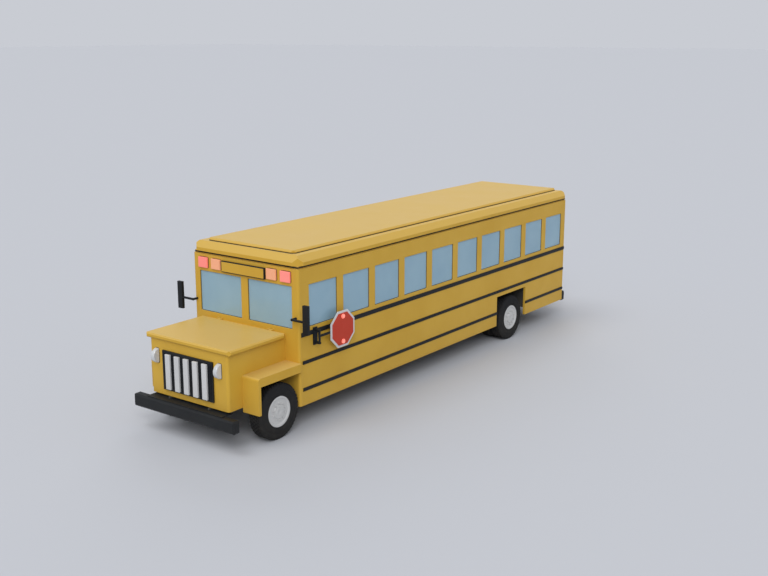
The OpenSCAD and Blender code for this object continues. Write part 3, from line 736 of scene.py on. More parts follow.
class StudRing(Grower):
    """Hexagon nuts in a ring about an axis along X."""

    title = "stud_ring"
    sizes = {"Count": "Int", "Ring": "Float", "Nut": "Float", "Height": "Float", "Turn": "Float",
             "Centre": "Vector"}

    def wire(self, given: bpy.types.NodeOutputs) -> bpy.types.NodeSocket:
        """Stands a tapered hexagon at each corner of a ring."""
        ring = add_node(self.tree, "GeometryNodeMeshCircle", inputs={
            "Vertices": given["Count"], "Radius": given["Ring"]})
        nut = add_node(self.tree, "GeometryNodeMeshCone", inputs={
            "Vertices": 6, "Radius Top": given["Nut"], "Radius Bottom": given["Nut"],
            "Depth": given["Height"]})
        point = add_node(self.tree, "GeometryNodeMeshCone", inputs={
            "Vertices": 10, "Radius Top": 0.004, "Radius Bottom": 0.009, "Depth": 0.03})
        pair = add_node(self.tree, "GeometryNodeJoinGeometry")
        for part in (nut, point):
            self.tree.links.new(part.outputs["Mesh"], pair.inputs[0])
        studs = add_node(self.tree, "GeometryNodeInstanceOnPoints", inputs={
            "Points": ring.outputs["Mesh"], "Instance": pair.outputs["Geometry"]})
        lean = add_node(self.tree, "ShaderNodeCombineXYZ", inputs={"Y": given["Turn"]})
        laid = add_node(self.tree, "GeometryNodeTransform", inputs={
            "Geometry": studs.outputs["Instances"], "Rotation": lean.outputs["Vector"],
            "Translation": given["Centre"]})
        return laid.outputs["Geometry"]


class TreadRing(Grower):
    """Rows of tread blocks round a tyre with its axis along X."""

    title = "tread_ring"
    sizes = {"Blocks": "Int", "Rows": "Int", "Ring": "Float", "Spacing": "Float", "Block": "Vector",
             "Slant": "Float", "Centre": "Vector"}

    def wire(self, given: bpy.types.NodeOutputs) -> bpy.types.NodeSocket:
        """Sets slanted blocks round a ring and repeats it in staggered rows."""
        tree = self.tree
        step = add_node(tree, "ShaderNodeMath", {"operation": "DIVIDE"}, {0: math.tau, 1: given["Blocks"]})
        count = add_node(tree, "GeometryNodeInputIndex").outputs["Index"]
        angle = add_node(tree, "ShaderNodeMath", {"operation": "MULTIPLY"}, {
            0: count, 1: step.outputs["Value"]})
        turn = add_node(tree, "ShaderNodeCombineXYZ", inputs={"Z": angle.outputs["Value"]})
        block = add_node(tree, "GeometryNodeMeshCube", inputs={"Size": given["Block"]})
        lean = add_node(tree, "ShaderNodeCombineXYZ", inputs={"X": given["Slant"]})
        leaning = add_node(tree, "GeometryNodeTransform", inputs={
            "Geometry": block.outputs["Mesh"], "Rotation": lean.outputs["Vector"]})
        ring = add_node(tree, "GeometryNodeMeshCircle", inputs={
            "Vertices": given["Blocks"], "Radius": given["Ring"]})
        row = add_node(tree, "GeometryNodeInstanceOnPoints", inputs={
            "Points": ring.outputs["Mesh"], "Instance": leaning.outputs["Geometry"],
            "Rotation": turn.outputs["Vector"]})
        last = add_node(tree, "ShaderNodeMath", {"operation": "SUBTRACT"}, {0: given["Rows"], 1: 1.0})
        span = add_node(tree, "ShaderNodeMath", {"operation": "MULTIPLY"}, {
            0: last.outputs["Value"], 1: given["Spacing"]})
        start = add_node(tree, "ShaderNodeMath", {"operation": "MULTIPLY"}, {
            0: span.outputs["Value"], 1: -0.5})
        first = add_node(tree, "ShaderNodeCombineXYZ", inputs={"Z": start.outputs["Value"]})
        apart = add_node(tree, "ShaderNodeCombineXYZ", inputs={"Z": given["Spacing"]})
        line = add_node(tree, "GeometryNodeMeshLine", inputs={
            "Count": given["Rows"], "Start Location": first.outputs["Vector"],
            "Offset": apart.outputs["Vector"]})
        odd = add_node(tree, "ShaderNodeMath", {"operation": "MODULO"}, {0: count, 1: 2.0})
        half = add_node(tree, "ShaderNodeMath", {"operation": "MULTIPLY"}, {
            0: odd.outputs["Value"], 1: step.outputs["Value"]})
        shift = add_node(tree, "ShaderNodeMath", {"operation": "MULTIPLY"}, {
            0: half.outputs["Value"], 1: 0.5})
        stagger = add_node(tree, "ShaderNodeCombineXYZ", inputs={"Z": shift.outputs["Value"]})
        rows = add_node(tree, "GeometryNodeInstanceOnPoints", inputs={
            "Points": line.outputs["Mesh"], "Instance": row.outputs["Instances"],
            "Rotation": stagger.outputs["Vector"]})
        laid = add_node(tree, "GeometryNodeTransform", inputs={
            "Geometry": rows.outputs["Instances"], "Rotation": (0.0, math.pi / 2, 0.0),
            "Translation": given["Centre"]})
        return laid.outputs["Geometry"]


class SlatStack(Grower):
    """Like slats stacked upwards behind a grille."""

    title = "slat_stack"
    sizes = {"Count": "Int", "Pitch": "Vector", "Slat": "Vector", "Start": "Vector"}

    def wire(self, given: bpy.types.NodeOutputs) -> bpy.types.NodeSocket:
        """Repeats one slat at every pitch."""
        line = add_node(self.tree, "GeometryNodeMeshLine", inputs={
            "Count": given["Count"], "Start Location": given["Start"], "Offset": given["Pitch"]})
        slat = add_node(self.tree, "GeometryNodeMeshCube", inputs={"Size": given["Slat"]})
        stack = add_node(self.tree, "GeometryNodeInstanceOnPoints", inputs={
            "Points": line.outputs["Mesh"], "Instance": slat.outputs["Mesh"]})
        return stack.outputs["Instances"]


@dataclass
class Workshop:
    """What every sub-assembly builds with."""

    solids: Solids = field(default_factory=Solids)
    paints: Paints = field(default_factory=Paints)
    rivets: RivetRows = field(default_factory=RivetRows)
    beads: BeadLines = field(default_factory=BeadLines)
    studs: StudRing = field(default_factory=StudRing)
    treads: TreadRing = field(default_factory=TreadRing)
    slats: SlatStack = field(default_factory=SlatStack)

    def paint(self, finish: Finish) -> bpy.types.Material:
        """Gives a finish's material."""
        return self.paints.get(finish)

    def dress(self, finish: Finish, *names: str) -> None:
        """Gives nodes a finish."""
        self.solids.dress(self.paint(finish), *names)


@dataclass
class Shell:
    """Outer panels with their rub rails and rivet rows."""

    shop: Workshop
    rivet_r: float = 0.0065
    rail_rivet_r: float = 0.008
    panel_pitch: float = 0.085
    rail_pitch: float = 0.18
    edge_gap: float = 0.03
    side_x: float = 1.1
    roof_row_gap: float = 0.066
    shoulder_w: float = 0.2
    top_gap: float = 0.01
    foot_gap: float = 0.02
    panel_cut: float = 0.06
    panel_rise: float = 0.045
    seal_r: float = 0.012
    seal_corner: float = 0.01

    def build(self) -> None:
        """Rivets the panels, the rails and the roof, and lays dark beads along the roof's joints as sealant
        and as painted shadow lines.
        """
        self.rivet_rails()
        self.rivet_panels()
        self.rivet_roof()
        self.seal_and_shade_roof()

    def rivet_rails(self) -> None:
        """Sets a row of heads along the crown of each rub rail."""
        rows = []
        for lo, hi in self.shop.solids.boxes("rub_rails"):
            face = hi.x if hi.x > 0 else lo.x
            rows.append(level_line(face, (lo.y + self.edge_gap, hi.y - self.edge_gap), (lo.z + hi.z) / 2))
        self.shop.rivets.grow("rail_rivets", rows, False, self.shop.paint(BLACK_SATIN), "bus", "black_trim",
                              Pitch=self.rail_pitch, Radius=self.rail_rivet_r, Crown=Vector((0.5, 1.0, 1.0)))

    def rivet_panels(self) -> None:
        """Sets rows of heads along the sill line, the cantrail and the skirt of both sides."""
        glass = self.shop.solids.part_box("window_glass", lambda p: abs(p.x) > self.side_x)
        rows = []
        for name, side in (("left_side", 1), ("right_side", -1)):
            lo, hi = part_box(name)
            face = hi.x if side > 0 else lo.x
            for level in (glass[0].z - self.edge_gap, glass[1].z + self.edge_gap, hi.z - self.edge_gap):
                rows.append(level_line(face, (lo.y + self.edge_gap, hi.y - self.edge_gap), level))
        self.shop.rivets.grow("panel_rivets", rows, False, self.shop.paint(YELLOW_ENAMEL), "bus",
                              "yellow_paint", Pitch=self.panel_pitch, Radius=self.rivet_r,
                              Crown=Vector((0.4, 1.0, 1.0)))

    def rivet_roof(self) -> None:
        """Sets rows of heads beside the raised roof panel."""
        solids, high = self.shop.solids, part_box("roof")[1]
        lo, hi = solids.part_box("roof", lambda p: p.z > high.z - FLUSH)
        shoulder = solids.part_box(
            "roof", lambda p: p.x > high.x - self.shoulder_w and p.z < high.z - self.top_gap)[1].z
        rows = [level_line(x, (lo.y, hi.y), shoulder)
                for x in (lo.x - self.roof_row_gap, hi.x + self.roof_row_gap)]
        self.shop.rivets.grow("roof_rivets", rows, False, self.shop.paint(YELLOW_ENAMEL), "bus",
                              "yellow_paint", Pitch=self.rail_pitch, Radius=self.rivet_r,
                              Crown=Vector((1.0, 1.0, 0.4)))

    def seal_and_shade_roof(self) -> None:
        """Runs a dark bead round the raised panel's foot and one in the recess under the roof's edge: a
        sealant, and also painted shade along lines where those joints lie in shadow.
        """
        solids, low, top = self.shop.solids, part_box("roof")[0].z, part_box("roof")[1].z
        below = top - self.top_gap
        lo, hi = solids.part_box("roof", lambda p: top - self.panel_rise < p.z < below)
        level = solids.part_box("roof", lambda p: p.x > hi.x + self.foot_gap and p.z < below)[1].z
        cut = self.panel_cut
        foot = []
        for x, y, dx, dy in ((lo.x, lo.y, 1, 1), (hi.x, lo.y, -1, 1),
                             (hi.x, hi.y, -1, -1), (lo.x, hi.y, 1, -1)):
            ends = [Vector((x, y + dy * cut, level)), Vector((x + dx * cut, y, level))]
            foot.extend(ends if dx == dy else reversed(ends))
        lo, hi = solids.part_box("roof", lambda p: p.z < low + FLUSH)
        # Dark bead that fills the recess under the roof's edge: a rubber seal, and also a painted shadow
        # line
        gutter_shade_line = rectangle(lo, hi, Axis.Z, lo.z + 2 * self.seal_r)
        self.shop.beads.grow("roof_seal_and_shade_beads", [foot, gutter_shade_line], True, self.shop.paint(SEAL_RUBBER), "bus",
                             "black_trim", Corner=self.seal_corner, Radius=self.seal_r)

    def dress(self) -> None:
        """Paints the panels and the rails."""
        self.shop.dress(YELLOW_ENAMEL, "left_side", "right_side", "door_frame", "front_wall", "rear_wall",
                        "roof", "nose", "fenders", "hood_lid", "sign_face")
        self.shop.dress(BLACK_SATIN, "rub_rails", "sign_box", "bumpers")


@dataclass
class Glazing:
    """Panes with the rubber beads that hold them."""

    shop: Workshop
    bead_r: float = 0.005
    corner_r: float = 0.025
    overlap: float = 0.002

    def build(self) -> None:
        """Lays a bead round each pane, on both of its faces."""
        for node, body in (("window_glass", "bus"), ("front_leaf_glass", "front_leaf"),
                           ("rear_leaf_glass", "rear_leaf"), ("exit_glass", "exit_door")):
            loops = []
            for lo, hi in self.shop.solids.boxes(node):
                facing = Axis.X if hi.x - lo.x < hi.y - lo.y else Axis.Y
                for level in (lo[facing.value], hi[facing.value]):
                    loops.append(rectangle(lo, hi, facing, level, self.overlap))
            self.shop.beads.grow(node + "_seals", loops, True, self.shop.paint(SEAL_RUBBER), body,
                                 "black_trim", Corner=self.corner_r, Radius=self.bead_r)

    def dress(self) -> None:
        """Gives the panes their tint."""
        self.shop.dress(TINTED_GLASS, "window_glass", "front_leaf_glass", "rear_leaf_glass", "exit_glass")


@dataclass
class Nose:
    """Grille with its slats, headlamps, and the top of the engine behind them."""

    shop: Workshop
    slat_pitch: float = 0.024
    slat_h: float = 0.012
    slat_d: float = 0.012
    slat_proud: float = 0.0036
    margin: float = 0.03
    rib_half: float = 0.007
    rib_rise: float = 0.009
    rib_sink: float = 0.006
    rib_bevel: float = 0.003
    rib_start: float = 0.16
    rib_share: float = 0.16
    cap_y: float = 0.08
    cap_sink: float = 0.01
    cap_sides: int = 20
    cap_steps: tuple[tuple[float, float], ...] = ((0.046, 0.0054), (0.034, 0.009))
    bolt_pitch: float = 0.12
    bolt_r: float = 0.01

    def build(self) -> None:
        """Stacks the slats between the grille's bars, and finishes the engine's top."""
        self.stack_slats()
        self.rib_cover()

    def stack_slats(self) -> None:
        """Fills the grille with thin level slats."""
        lo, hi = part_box("grille_panel")
        span = hi.z - lo.z - 2 * self.margin
        self.shop.slats.grow(
            "grille_slats", [], False, self.shop.paint(BLACK_SATIN), "bus", "black_trim",
            Count=int(span / self.slat_pitch), Pitch=Vector((0.0, 0.0, self.slat_pitch)),
            Slat=Vector((hi.x - lo.x - 2 * self.margin, self.slat_d, self.slat_h)),
            Start=Vector((0.0, lo.y - self.slat_proud, lo.z + self.margin + self.slat_pitch / 2)))

    def rib_cover(self) -> None:
        """Sets low ribs and a filler cap on the engine's top, and a row of bolts along each of its sides."""
        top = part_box("engine")[1].z
        lo, hi = self.shop.solids.part_box("engine", lambda p: p.z > top - FLUSH)
        stock = Stock()
        for k in range(-2, 3):
            x = k * (hi.x - lo.x) * self.rib_share
            stock.block(Vector((x - self.rib_half, lo.y + self.rib_start, top - self.rib_sink)),
                        Vector((x + self.rib_half, hi.y - self.margin, top + self.rib_rise)),
                        self.rib_bevel)
        for radius, rise in self.cap_steps:
            ends = [Vector((0.0, lo.y + self.cap_y, top + z)) for z in (-self.cap_sink, rise)]
            stock.tube(ends, radius, self.cap_sides)
        finished("engine_cover_ribs", stock.mesh(), self.shop.paint(ENGINE_IRON), "bus")
        rows = [level_line(x, (lo.y + self.margin, hi.y - self.margin), top)
                for x in (lo.x + self.margin, hi.x - self.margin)]
        self.shop.rivets.grow("engine_cover_bolts", rows, False, self.shop.paint(PLATED_NUTS), "bus",
                              Pitch=self.bolt_pitch, Radius=self.bolt_r, Crown=Vector((1.0, 1.0, 0.8)))

    def dress(self) -> None:
        """Paints the grille and fits the lenses."""
        self.shop.dress(BLACK_SATIN, "grille_panel")
        self.shop.dress(GREY_ENAMEL, "grille_bars")
        self.shop.dress(CLEAR_LENS, "headlamps")


@dataclass
class Lamps:
    """Warning lamps, tail lamps and headlamps with their rubber seats."""

    shop: Workshop
    seat_r: float = 0.006
    corner_r: float = 0.016
    round_steps: int = 28
    round_gap: float = 0.005

    def build(self) -> None:
        """Seats each lamp on a bead."""
        loops = []
        for node in ("red_lamps", "amber_lamps", "headlamps"):
            for lo, hi in self.shop.solids.boxes(node):
                wall = hi.y if hi.y < 0 else lo.y
                loops.append(self.seat(lo, hi, wall))
        self.shop.beads.grow("lamp_seats", loops, True, self.shop.paint(SEAL_RUBBER), "bus", "black_trim",
                             Corner=self.corner_r, Radius=self.seat_r)

    def seat(self, lo: Vector, hi: Vector, wall: float) -> Loop:
        """Draws the line round a lamp's foot.

        Args:
            lo: The lamp's lowest corner.
            hi: Its highest corner.
            wall: Y of the wall that it stands on.

        Returns:
            A rectangle, or a ring where the lamp is round.
        """
        wide, high = hi.x - lo.x, hi.z - lo.z
        if abs(wide - high) > self.round_gap:
            return rectangle(lo, hi, Axis.Y, wall)
        mid = (lo + hi) / 2
        return [Vector((mid.x + wide / 2 * math.cos(math.tau * k / self.round_steps), wall,
                        mid.z + wide / 2 * math.sin(math.tau * k / self.round_steps)))
                for k in range(self.round_steps)]

    def dress(self) -> None:
        """Gives the lamps their lens colours."""
        self.shop.dress(RED_LENS, "red_lamps")
        self.shop.dress(AMBER_LENS, "amber_lamps")


@dataclass
class StopArm:
    """Stop sign on its swinging arm, with lit lenses and rivets."""

    shop: Workshop
    lens_r: float = 0.041
    lens_d: float = 0.021
    lens_sink: float = 0.018
    lamp_r: float = 0.038
    lamp_proud: float = 0.005
    axis_r: float = 0.0005
    rivet_r: float = 0.009
    rivet_reach: float = 0.2
    rivet_rise: float = 0.035
    sheet_t: float = 0.006

    def build(self) -> None:
        """Turns a domed lens over each lamp and rivets the sheets to the arm."""
        lo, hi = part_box("stop_face")
        lamps = self.shop.solids.part_box("stop_face", lambda p: p.x > hi.x - self.lamp_proud)
        middle = (lo + hi) / 2
        r, d = self.lens_r, self.lens_d
        outline = [(self.axis_r, 0.0), (r, 0.0), (r, d * 0.55), (r * 0.86, d * 0.86), (r * 0.5, d),
                   (self.axis_r, d * 1.04)]
        stock = Stock()
        for level in (lamps[0].z + self.lamp_r, lamps[1].z - self.lamp_r):
            stock.turned(outline, Vector((hi.x - self.lens_sink, middle.y, level)), 1, 32)
        finished("stop_lamp_lenses", stock.mesh(), self.shop.paint(STOP_LENS), "stop_arm", 50)
        face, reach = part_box("stop_plate")[1].x + self.sheet_t, self.rivet_reach
        rows = [level_line(face, (middle.y - reach, middle.y + reach), middle.z + dz)
                for dz in (-self.rivet_rise, self.rivet_rise)]
        self.shop.rivets.grow("stop_rivets", rows, False, self.shop.paint(RED_SHEET), "stop_arm",
                              "red_sheet", Pitch=reach, Radius=self.rivet_r, Crown=Vector((0.4, 1.0, 1.0)))

    def dress(self) -> None:
        """Enamels the sign's sheets and paints its arm."""
        self.shop.dress(WHITE_SHEET, "stop_plate")
        self.shop.dress(RED_SHEET, "stop_face")
        self.shop.dress(BLACK_SATIN, "stop_bracket", "stop_arm")


@dataclass
class WheelSet:
    """Tyres with their tread, and wheels with their nuts."""

    shop: Workshop
    tread_d: float = 0.016
    blocks: int = 46
    rows: int = 5
    slant: float = 0.2
    nut_ring: float = 0.145
    nut_n: int = 10
    nut_r: float = 0.017
    nut_h: float = 0.022
    cap_r: float = 0.07
    cap_sink: float = 0.004
    disc_depth: float = 0.016
    axis_r: float = 0.0005
    shoulder_w: float = 0.05
    block_share: float = 0.74
    row_share: float = 0.84
    tread_clear: float = 0.0015
    wheels: tuple[str, ...] = ("front_left_wheel", "front_right_wheel", "rear_left_wheels",
                               "rear_right_wheels")

    def build(self) -> None:
        """Makes the tyres, nuts and hub caps of the four wheel bodies."""
        for wheel in self.wheels:
            self.tyres(wheel, wheel.replace("wheel", "tyre"))
            self.hub(wheel)

    def tyres(self, body: str, node: str) -> None:
        """Turns the carcasses of a node's tyres and sets their tread.

        Args:
            body: The wheels' body.
            node: The tyres' node.
        """
        stock = Stock()
        rubber = self.shop.paint(TYRE_RUBBER)
        boxes = self.shop.solids.boxes(node)
        for number, (lo, hi) in enumerate(boxes):
            centre, radius, half = (lo + hi) / 2, (hi.z - lo.z) / 2, (hi.x - lo.x) / 2
            stock.turned(self.carcass(radius, half), centre, 1, 96)
            spacing = (2 * half - self.shoulder_w) / self.rows
            length = math.tau * radius / self.blocks * self.block_share
            tread = self.shop.treads.grow(
                f"{node}_tread{number}", [], False, rubber, body, "tyre_rubber",
                Blocks=self.blocks, Rows=self.rows, Ring=radius - self.tread_d / 2 - self.tread_clear,
                Spacing=spacing, Block=Vector((self.tread_d, length, spacing * self.row_share)),
                Slant=self.slant, Centre=centre)
            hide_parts(node)
        piece = finished(node + "_carcass", stock.mesh(), rubber, body, 40)
        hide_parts(node)

    def carcass(self, radius: float, half: float) -> list[tuple[float, float]]:
        """Draws a tyre's outline with sidewall ribs and a bare tread base.

        Args:
            radius: Outer radius of the tread.
            half: Half the tyre's width.

        Returns:
            Radius and X of each corner in turn.
        """
        bead, base = radius * 0.546, radius - self.tread_d
        side = [(bead, half - 0.012), (bead + 0.012, half - 0.004), (bead + 0.03, half - 0.008),
                (bead + 0.036, half - 0.003), (bead + 0.075, half - 0.001), (bead + 0.118, half - 0.001),
                (bead + 0.122, half - 0.004), (bead + 0.126, half - 0.001), (radius - 0.062, half - 0.004),
                (radius - 0.03, half - 0.012), (base - 0.003, half - 0.024), (base, half - 0.034)]
        return side + [(r, -x) for r, x in reversed(side)]

    def hub(self, node: str) -> None:
        """Fits the wheel nuts and the hub cap.

        Args:
            node: The wheels' node, which has its body's name.
        """
        lo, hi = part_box(node)
        side = 1 if hi.x > 0 else -1
        face = hi.x if side > 0 else lo.x
        centre = Vector((face, (lo.y + hi.y) / 2, (lo.z + hi.z) / 2))
        disc = face - side * self.disc_depth
        self.shop.studs.grow(node + "_nuts", [], False, self.shop.paint(GREY_ENAMEL), node, "grey_paint",
                             Count=self.nut_n, Ring=self.nut_ring, Nut=self.nut_r, Height=self.nut_h,
                             Turn=side * math.pi / 2, Centre=Vector((disc, centre.y, centre.z)))
        stock = Stock()
        r = self.cap_r
        outline = [(self.axis_r, -0.02), (r, -0.02), (r, 0.004), (r * 0.94, 0.0085), (r * 0.55, 0.0095),
                   (r * 0.5, 0.007), (self.axis_r, 0.007)]
        stock.turned(outline, Vector((face - side * self.cap_sink, centre.y, centre.z)), side, 48)
        finished(node + "_cap", stock.mesh(), self.shop.paint(GREY_ENAMEL), node, 40)

    def dress(self) -> None:
        """Paints the wheels."""
        self.shop.dress(GREY_ENAMEL, *self.wheels)
        self.shop.dress(TYRE_RUBBER, *(wheel.replace("wheel", "tyre") for wheel in self.wheels))


@dataclass
class Mirrors:
    """Silvered glass on the rear faces of the mirror heads."""

    shop: Workshop
    border: float = 0.014
    proud: float = 0.003
    sink: float = 0.006
    bevel: float = 0.0025
    head_w: float = 0.115

    def build(self) -> None:
        """Sets a rounded plate into each mirror head."""
        stock = Stock()
        for lo, hi in self.shop.solids.boxes("mirrors"):
            left = hi.x > 0
            head_lo, head_hi = self.shop.solids.part_box("mirrors", lambda p: (
                p.x > hi.x - self.head_w if left else p.x < lo.x + self.head_w))
            border = Vector((self.border, 0.0, self.border))
            stock.block(Vector((head_lo.x, head_hi.y - self.sink, head_lo.z)) + border,
                        Vector((head_hi.x, head_hi.y + self.proud, head_hi.z)) - border, self.bevel)
        finished("mirror_glass", stock.mesh(), self.shop.paint(MIRROR_GLASS), "bus")

    def dress(self) -> None:
        """Paints the heads and their arms."""
        self.shop.dress(BLACK_SATIN, "mirrors")


@dataclass
class Doors:
    """Entry leaves and rear exit door with their seals, and the exit's lever."""

    shop: Workshop
    seal_r: float = 0.005
    seal_end: float = 0.02
    seal_back: float = 0.02
    seal_corner: float = 0.02
    leaf_t: float = 0.045
    panel_t: float = 0.021
    frame_w: float = 0.085
    lever_r: float = 0.009
    lever_l: float = 0.17
    lever_sides: int = 12

    def build(self) -> None:
        """Runs seals along the doors' edges and fits the lever."""
        rubber = self.shop.paint(SEAL_RUBBER)
        for node, other in (("front_leaf", "rear_leaf"), ("rear_leaf", "front_leaf")):
            lo, hi = self.shop.solids.part_box(node, lambda p: p.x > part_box(node)[1].x - self.leaf_t)
            meeting = hi.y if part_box(other)[0].y > lo.y else lo.y
            line = [Vector(((lo.x + hi.x) / 2, meeting, z))
                    for z in (lo.z + self.seal_end, hi.z - self.seal_end)]
            self.shop.beads.grow(node + "_edge_seal", [line], False, rubber, node, "black_trim",
                                 Corner=0.0, Radius=self.seal_r)
        lo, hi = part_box("exit_glass")
        panel = self.shop.solids.part_box("exit_door", lambda p: (
            p.y < hi.y + self.panel_t and abs(p.x) < abs(lo.x) + self.frame_w))
        loop = rectangle(panel[0], panel[1], Axis.Y, panel[1].y - self.seal_back)
        self.shop.beads.grow("exit_door_seal", [loop], True, rubber, "exit_door", "black_trim",
                             Corner=self.seal_corner, Radius=self.seal_r)
        self.lever()

    def lever(self) -> None:
        """Bends the exit door's lever out of its boss."""
        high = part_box("exit_door")[1]
        boss = self.shop.solids.part_box("exit_door", lambda p: p.x > 0.0 and p.y > high.y - FLUSH)
        y, z = boss[1].y - self.lever_r, (boss[0].z + boss[1].z) / 2
        x = boss[0].x + 0.004
        path = [Vector((x, y, z)), Vector((x - 0.03, y, z)), Vector((x - self.lever_l * 0.9, y, z - 0.012)),
                Vector((x - self.lever_l, y - 0.012, z - 0.014))]
        stock = Stock()
        stock.tube(path, self.lever_r, self.lever_sides)
        finished("exit_lever", stock.mesh(), self.shop.paint(PLATED_NUTS), "exit_door")

    def dress(self) -> None:
        """Paints the doors."""
        self.shop.dress(YELLOW_ENAMEL, "front_leaf", "rear_leaf", "exit_door")


@dataclass
class Chassis:
    """Frame, axles and drive line, with the bolts that clamp the springs."""

    shop: Workshop
    bolt_r: float = 0.009
    bolt_gap: float = 0.1
    bend: float = 0.01
    leaves_t: float = 0.052
    clamp_drop: float = 0.15

    def build(self) -> None:
        """Bends two bolts over each spring at its axle."""
        stock = Stock()
        for lo, hi in self.shop.solids.boxes("leaf_springs"):
            mid = (lo.y + hi.y) / 2
            top = lo.z + self.leaves_t + self.bolt_r * 0.6
            left, right = lo.x - self.bolt_r, hi.x + self.bolt_r
            bend, drop = self.bend, self.clamp_drop
            for y in (mid - self.bolt_gap / 2, mid + self.bolt_gap / 2):
                stock.tube([Vector(p) for p in (
                    (left, y, top - drop), (left, y, top - bend), (left + bend, y, top),
                    (right - bend, y, top), (right, y, top - bend), (right, y, top - drop))], self.bolt_r)
        finished("spring_bolts", stock.mesh(), self.shop.paint(PLATED_STEEL), "bus")

    def dress(self) -> None:
        """Paints what lies under the floor."""
        self.shop.dress(CHASSIS_BLACK, "frame_rails", "crossmembers", "front_axle", "rear_axle",
                        "drive_shaft", "leaf_springs", "tow_eyes", "left_knuckle", "right_knuckle",
                        "tie_rod")
        self.shop.dress(UNDERSEAL, "wheel_wells")
        self.shop.dress(PLATED_STEEL, "fuel_tank", "exhaust")
        self.shop.dress(ENGINE_IRON, "engine")


@dataclass
class Cabin:
    """Seats, floor, steps and dashboard."""

    shop: Workshop
    cushion_h: float = 0.13
    cushion_z: float = 0.30
    cushion_d: float = 0.42
    back_t: float = 0.08
    back_lean: float = 0.095
    swell: float = 0.012
    voxel: float = 0.024
    sim_frames: int = 20
    pressure: float = 4.0
    fill: float = 0.8
    cushion_cap: float = 0.03
    back_cap: float = 0.022
    pipe_r: float = 0.006
    pipe_in: float = 0.02
    pipe_end: float = 0.03
    pipe_proud: float = 0.002
    driver_w: float = 0.7
    driver_tall: float = 0.70
    leg_in: float = 0.06
    leg_r: float = 0.014
    leg_y: tuple[float, float] = (0.08, 0.36)
    leg_bend: float = 0.03
    leg_gap: float = 0.004
    shoe: tuple[float, float, float] = (0.03, 0.035, 0.014)
    shoe_bevel: float = 0.003
    base_half: float = 0.17
    base_y: tuple[float, float] = (0.06, 0.40)
    base_h: float = 0.05
    base_bevel: float = 0.012
    bellows: int = 5
    bellow_half: float = 0.12
    bellow_y: tuple[float, float] = (0.1, 0.36)
    bellow_bevel: float = 0.02
    bellow_pitch: float = 0.064
    bellow_h: float = 0.062
    edging_end: float = 0.04
    edging_proud: float = 0.003
    edging_w: float = 0.045
    edging_drop: float = 0.022

    def build(self) -> None:
        """Upholsters the benches and the driver's seat on their frames."""
        benches, driver = [], None
        for lo, hi in self.shop.solids.boxes("seats"):
            if hi.x - lo.x < self.driver_w:
                driver = (lo, hi)
            else:
                benches.append((lo, hi))
        self.seat_row("bench", benches, self.cushion_z)
        self.seat_row("driver", [driver], driver[1].z - driver[0].z - self.driver_tall)
        self.frames(benches, driver)
        self.edge_steps()

    def seat_row(self, title: str, boxes: list[Box], seat_z: float) -> None:
        """Makes the cushions, backs and piping of like seats.

        Args:
            title: Start of the pieces' names.
            boxes: Lowest and highest corner of each seat.
            seat_z: Height of the cushion's underside above the floor.
        """
        lo, hi = boxes[0]
        wide = hi.x - lo.x
        tall = hi.z - lo.z
        gap = self.swell
        cushion = self.stuffed(
            Vector((gap, gap, seat_z + gap)),
            Vector((wide - gap, self.cushion_d - 0.01, seat_z + self.cushion_h - gap)), self.cushion_cap)
        back = self.stuffed(
            Vector((gap, 0.0, seat_z + self.cushion_h + 0.012)),
            Vector((wide - gap, self.back_t - 2 * gap, tall - gap)), self.back_cap)
        foot = seat_z + self.cushion_h
        for vert in back.vertices:
            vert.co.y += self.cushion_d - 0.006 + gap + (vert.co.z - foot) * self.back_lean
        vinyl = self.shop.paint(GREEN_VINYL)
        for part, mesh in (("cushions", cushion), ("backs", back)):
            piece = finished(f"{title}_{part}", self.repeated(mesh, [box[0] for box in boxes]), vinyl, "bus",
                             180)
            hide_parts("seats")
        self.pipe(title, boxes, wide, tall, seat_z)

    def stuffed(self, lo: Vector, hi: Vector, cap: float) -> bpy.types.Mesh:
        """Blows up a pad as cloth from a plain rounded block.

        Args:
            lo: Lowest corner of the block.
            hi: Highest corner.
            cap: Most that a point may move.

        Returns:
            The pad's mesh.
        """
        stock = Stock()
        stock.block(lo, hi, 0.02, 2)
        pad = bpy.data.objects.new("pad", stock.mesh())
        scene = bpy.context.scene
        scene.collection.objects.link(pad)
        remesh = pad.modifiers.new("remesh", "REMESH")
        remesh.mode = "VOXEL"
        remesh.voxel_size = self.voxel
        graph = bpy.context.evaluated_depsgraph_get()
        even = bpy.data.meshes.new_from_object(pad.evaluated_get(graph))
        pad.modifiers.remove(remesh)
        pad.data = even
        cloth = pad.modifiers.new("cloth", "CLOTH")
        cloth.settings.use_pressure = True
        cloth.settings.uniform_pressure_force = self.pressure
        cloth.settings.effector_weights.gravity = 0.0
        cloth.settings.quality = 5
        frames = self.sim_frames
        for number in range(1, frames + 1):
            scene.frame_set(number)
        graph = bpy.context.evaluated_depsgraph_get()
        blown = bpy.data.meshes.new_from_object(pad.evaluated_get(graph))
        for plain, vert in zip(even.vertices, blown.vertices):
            move = vert.co - plain.co
            if move.length > cap:
                vert.co = plain.co + move * (cap / move.length)
        pad.modifiers.remove(cloth)
        bpy.data.objects.remove(pad)
        scene.frame_set(1)
        return blown

    def repeated(self, mesh: bpy.types.Mesh, places: list[Vector]) -> bpy.types.Mesh:
        """Joins a copy of a mesh at each place.

        Args:
            mesh: The mesh to repeat.
            places: Where its origin goes.

        Returns:
            The joined mesh.
        """
        joined = bmesh.new()
        for place in places:
            first = len(joined.verts)
            joined.from_mesh(mesh)
            joined.verts.ensure_lookup_table()
            bmesh.ops.translate(joined, vec=place, verts=joined.verts[first:])
        made = bpy.data.meshes.new("repeated")
        joined.to_mesh(made)
        joined.free()
        return made

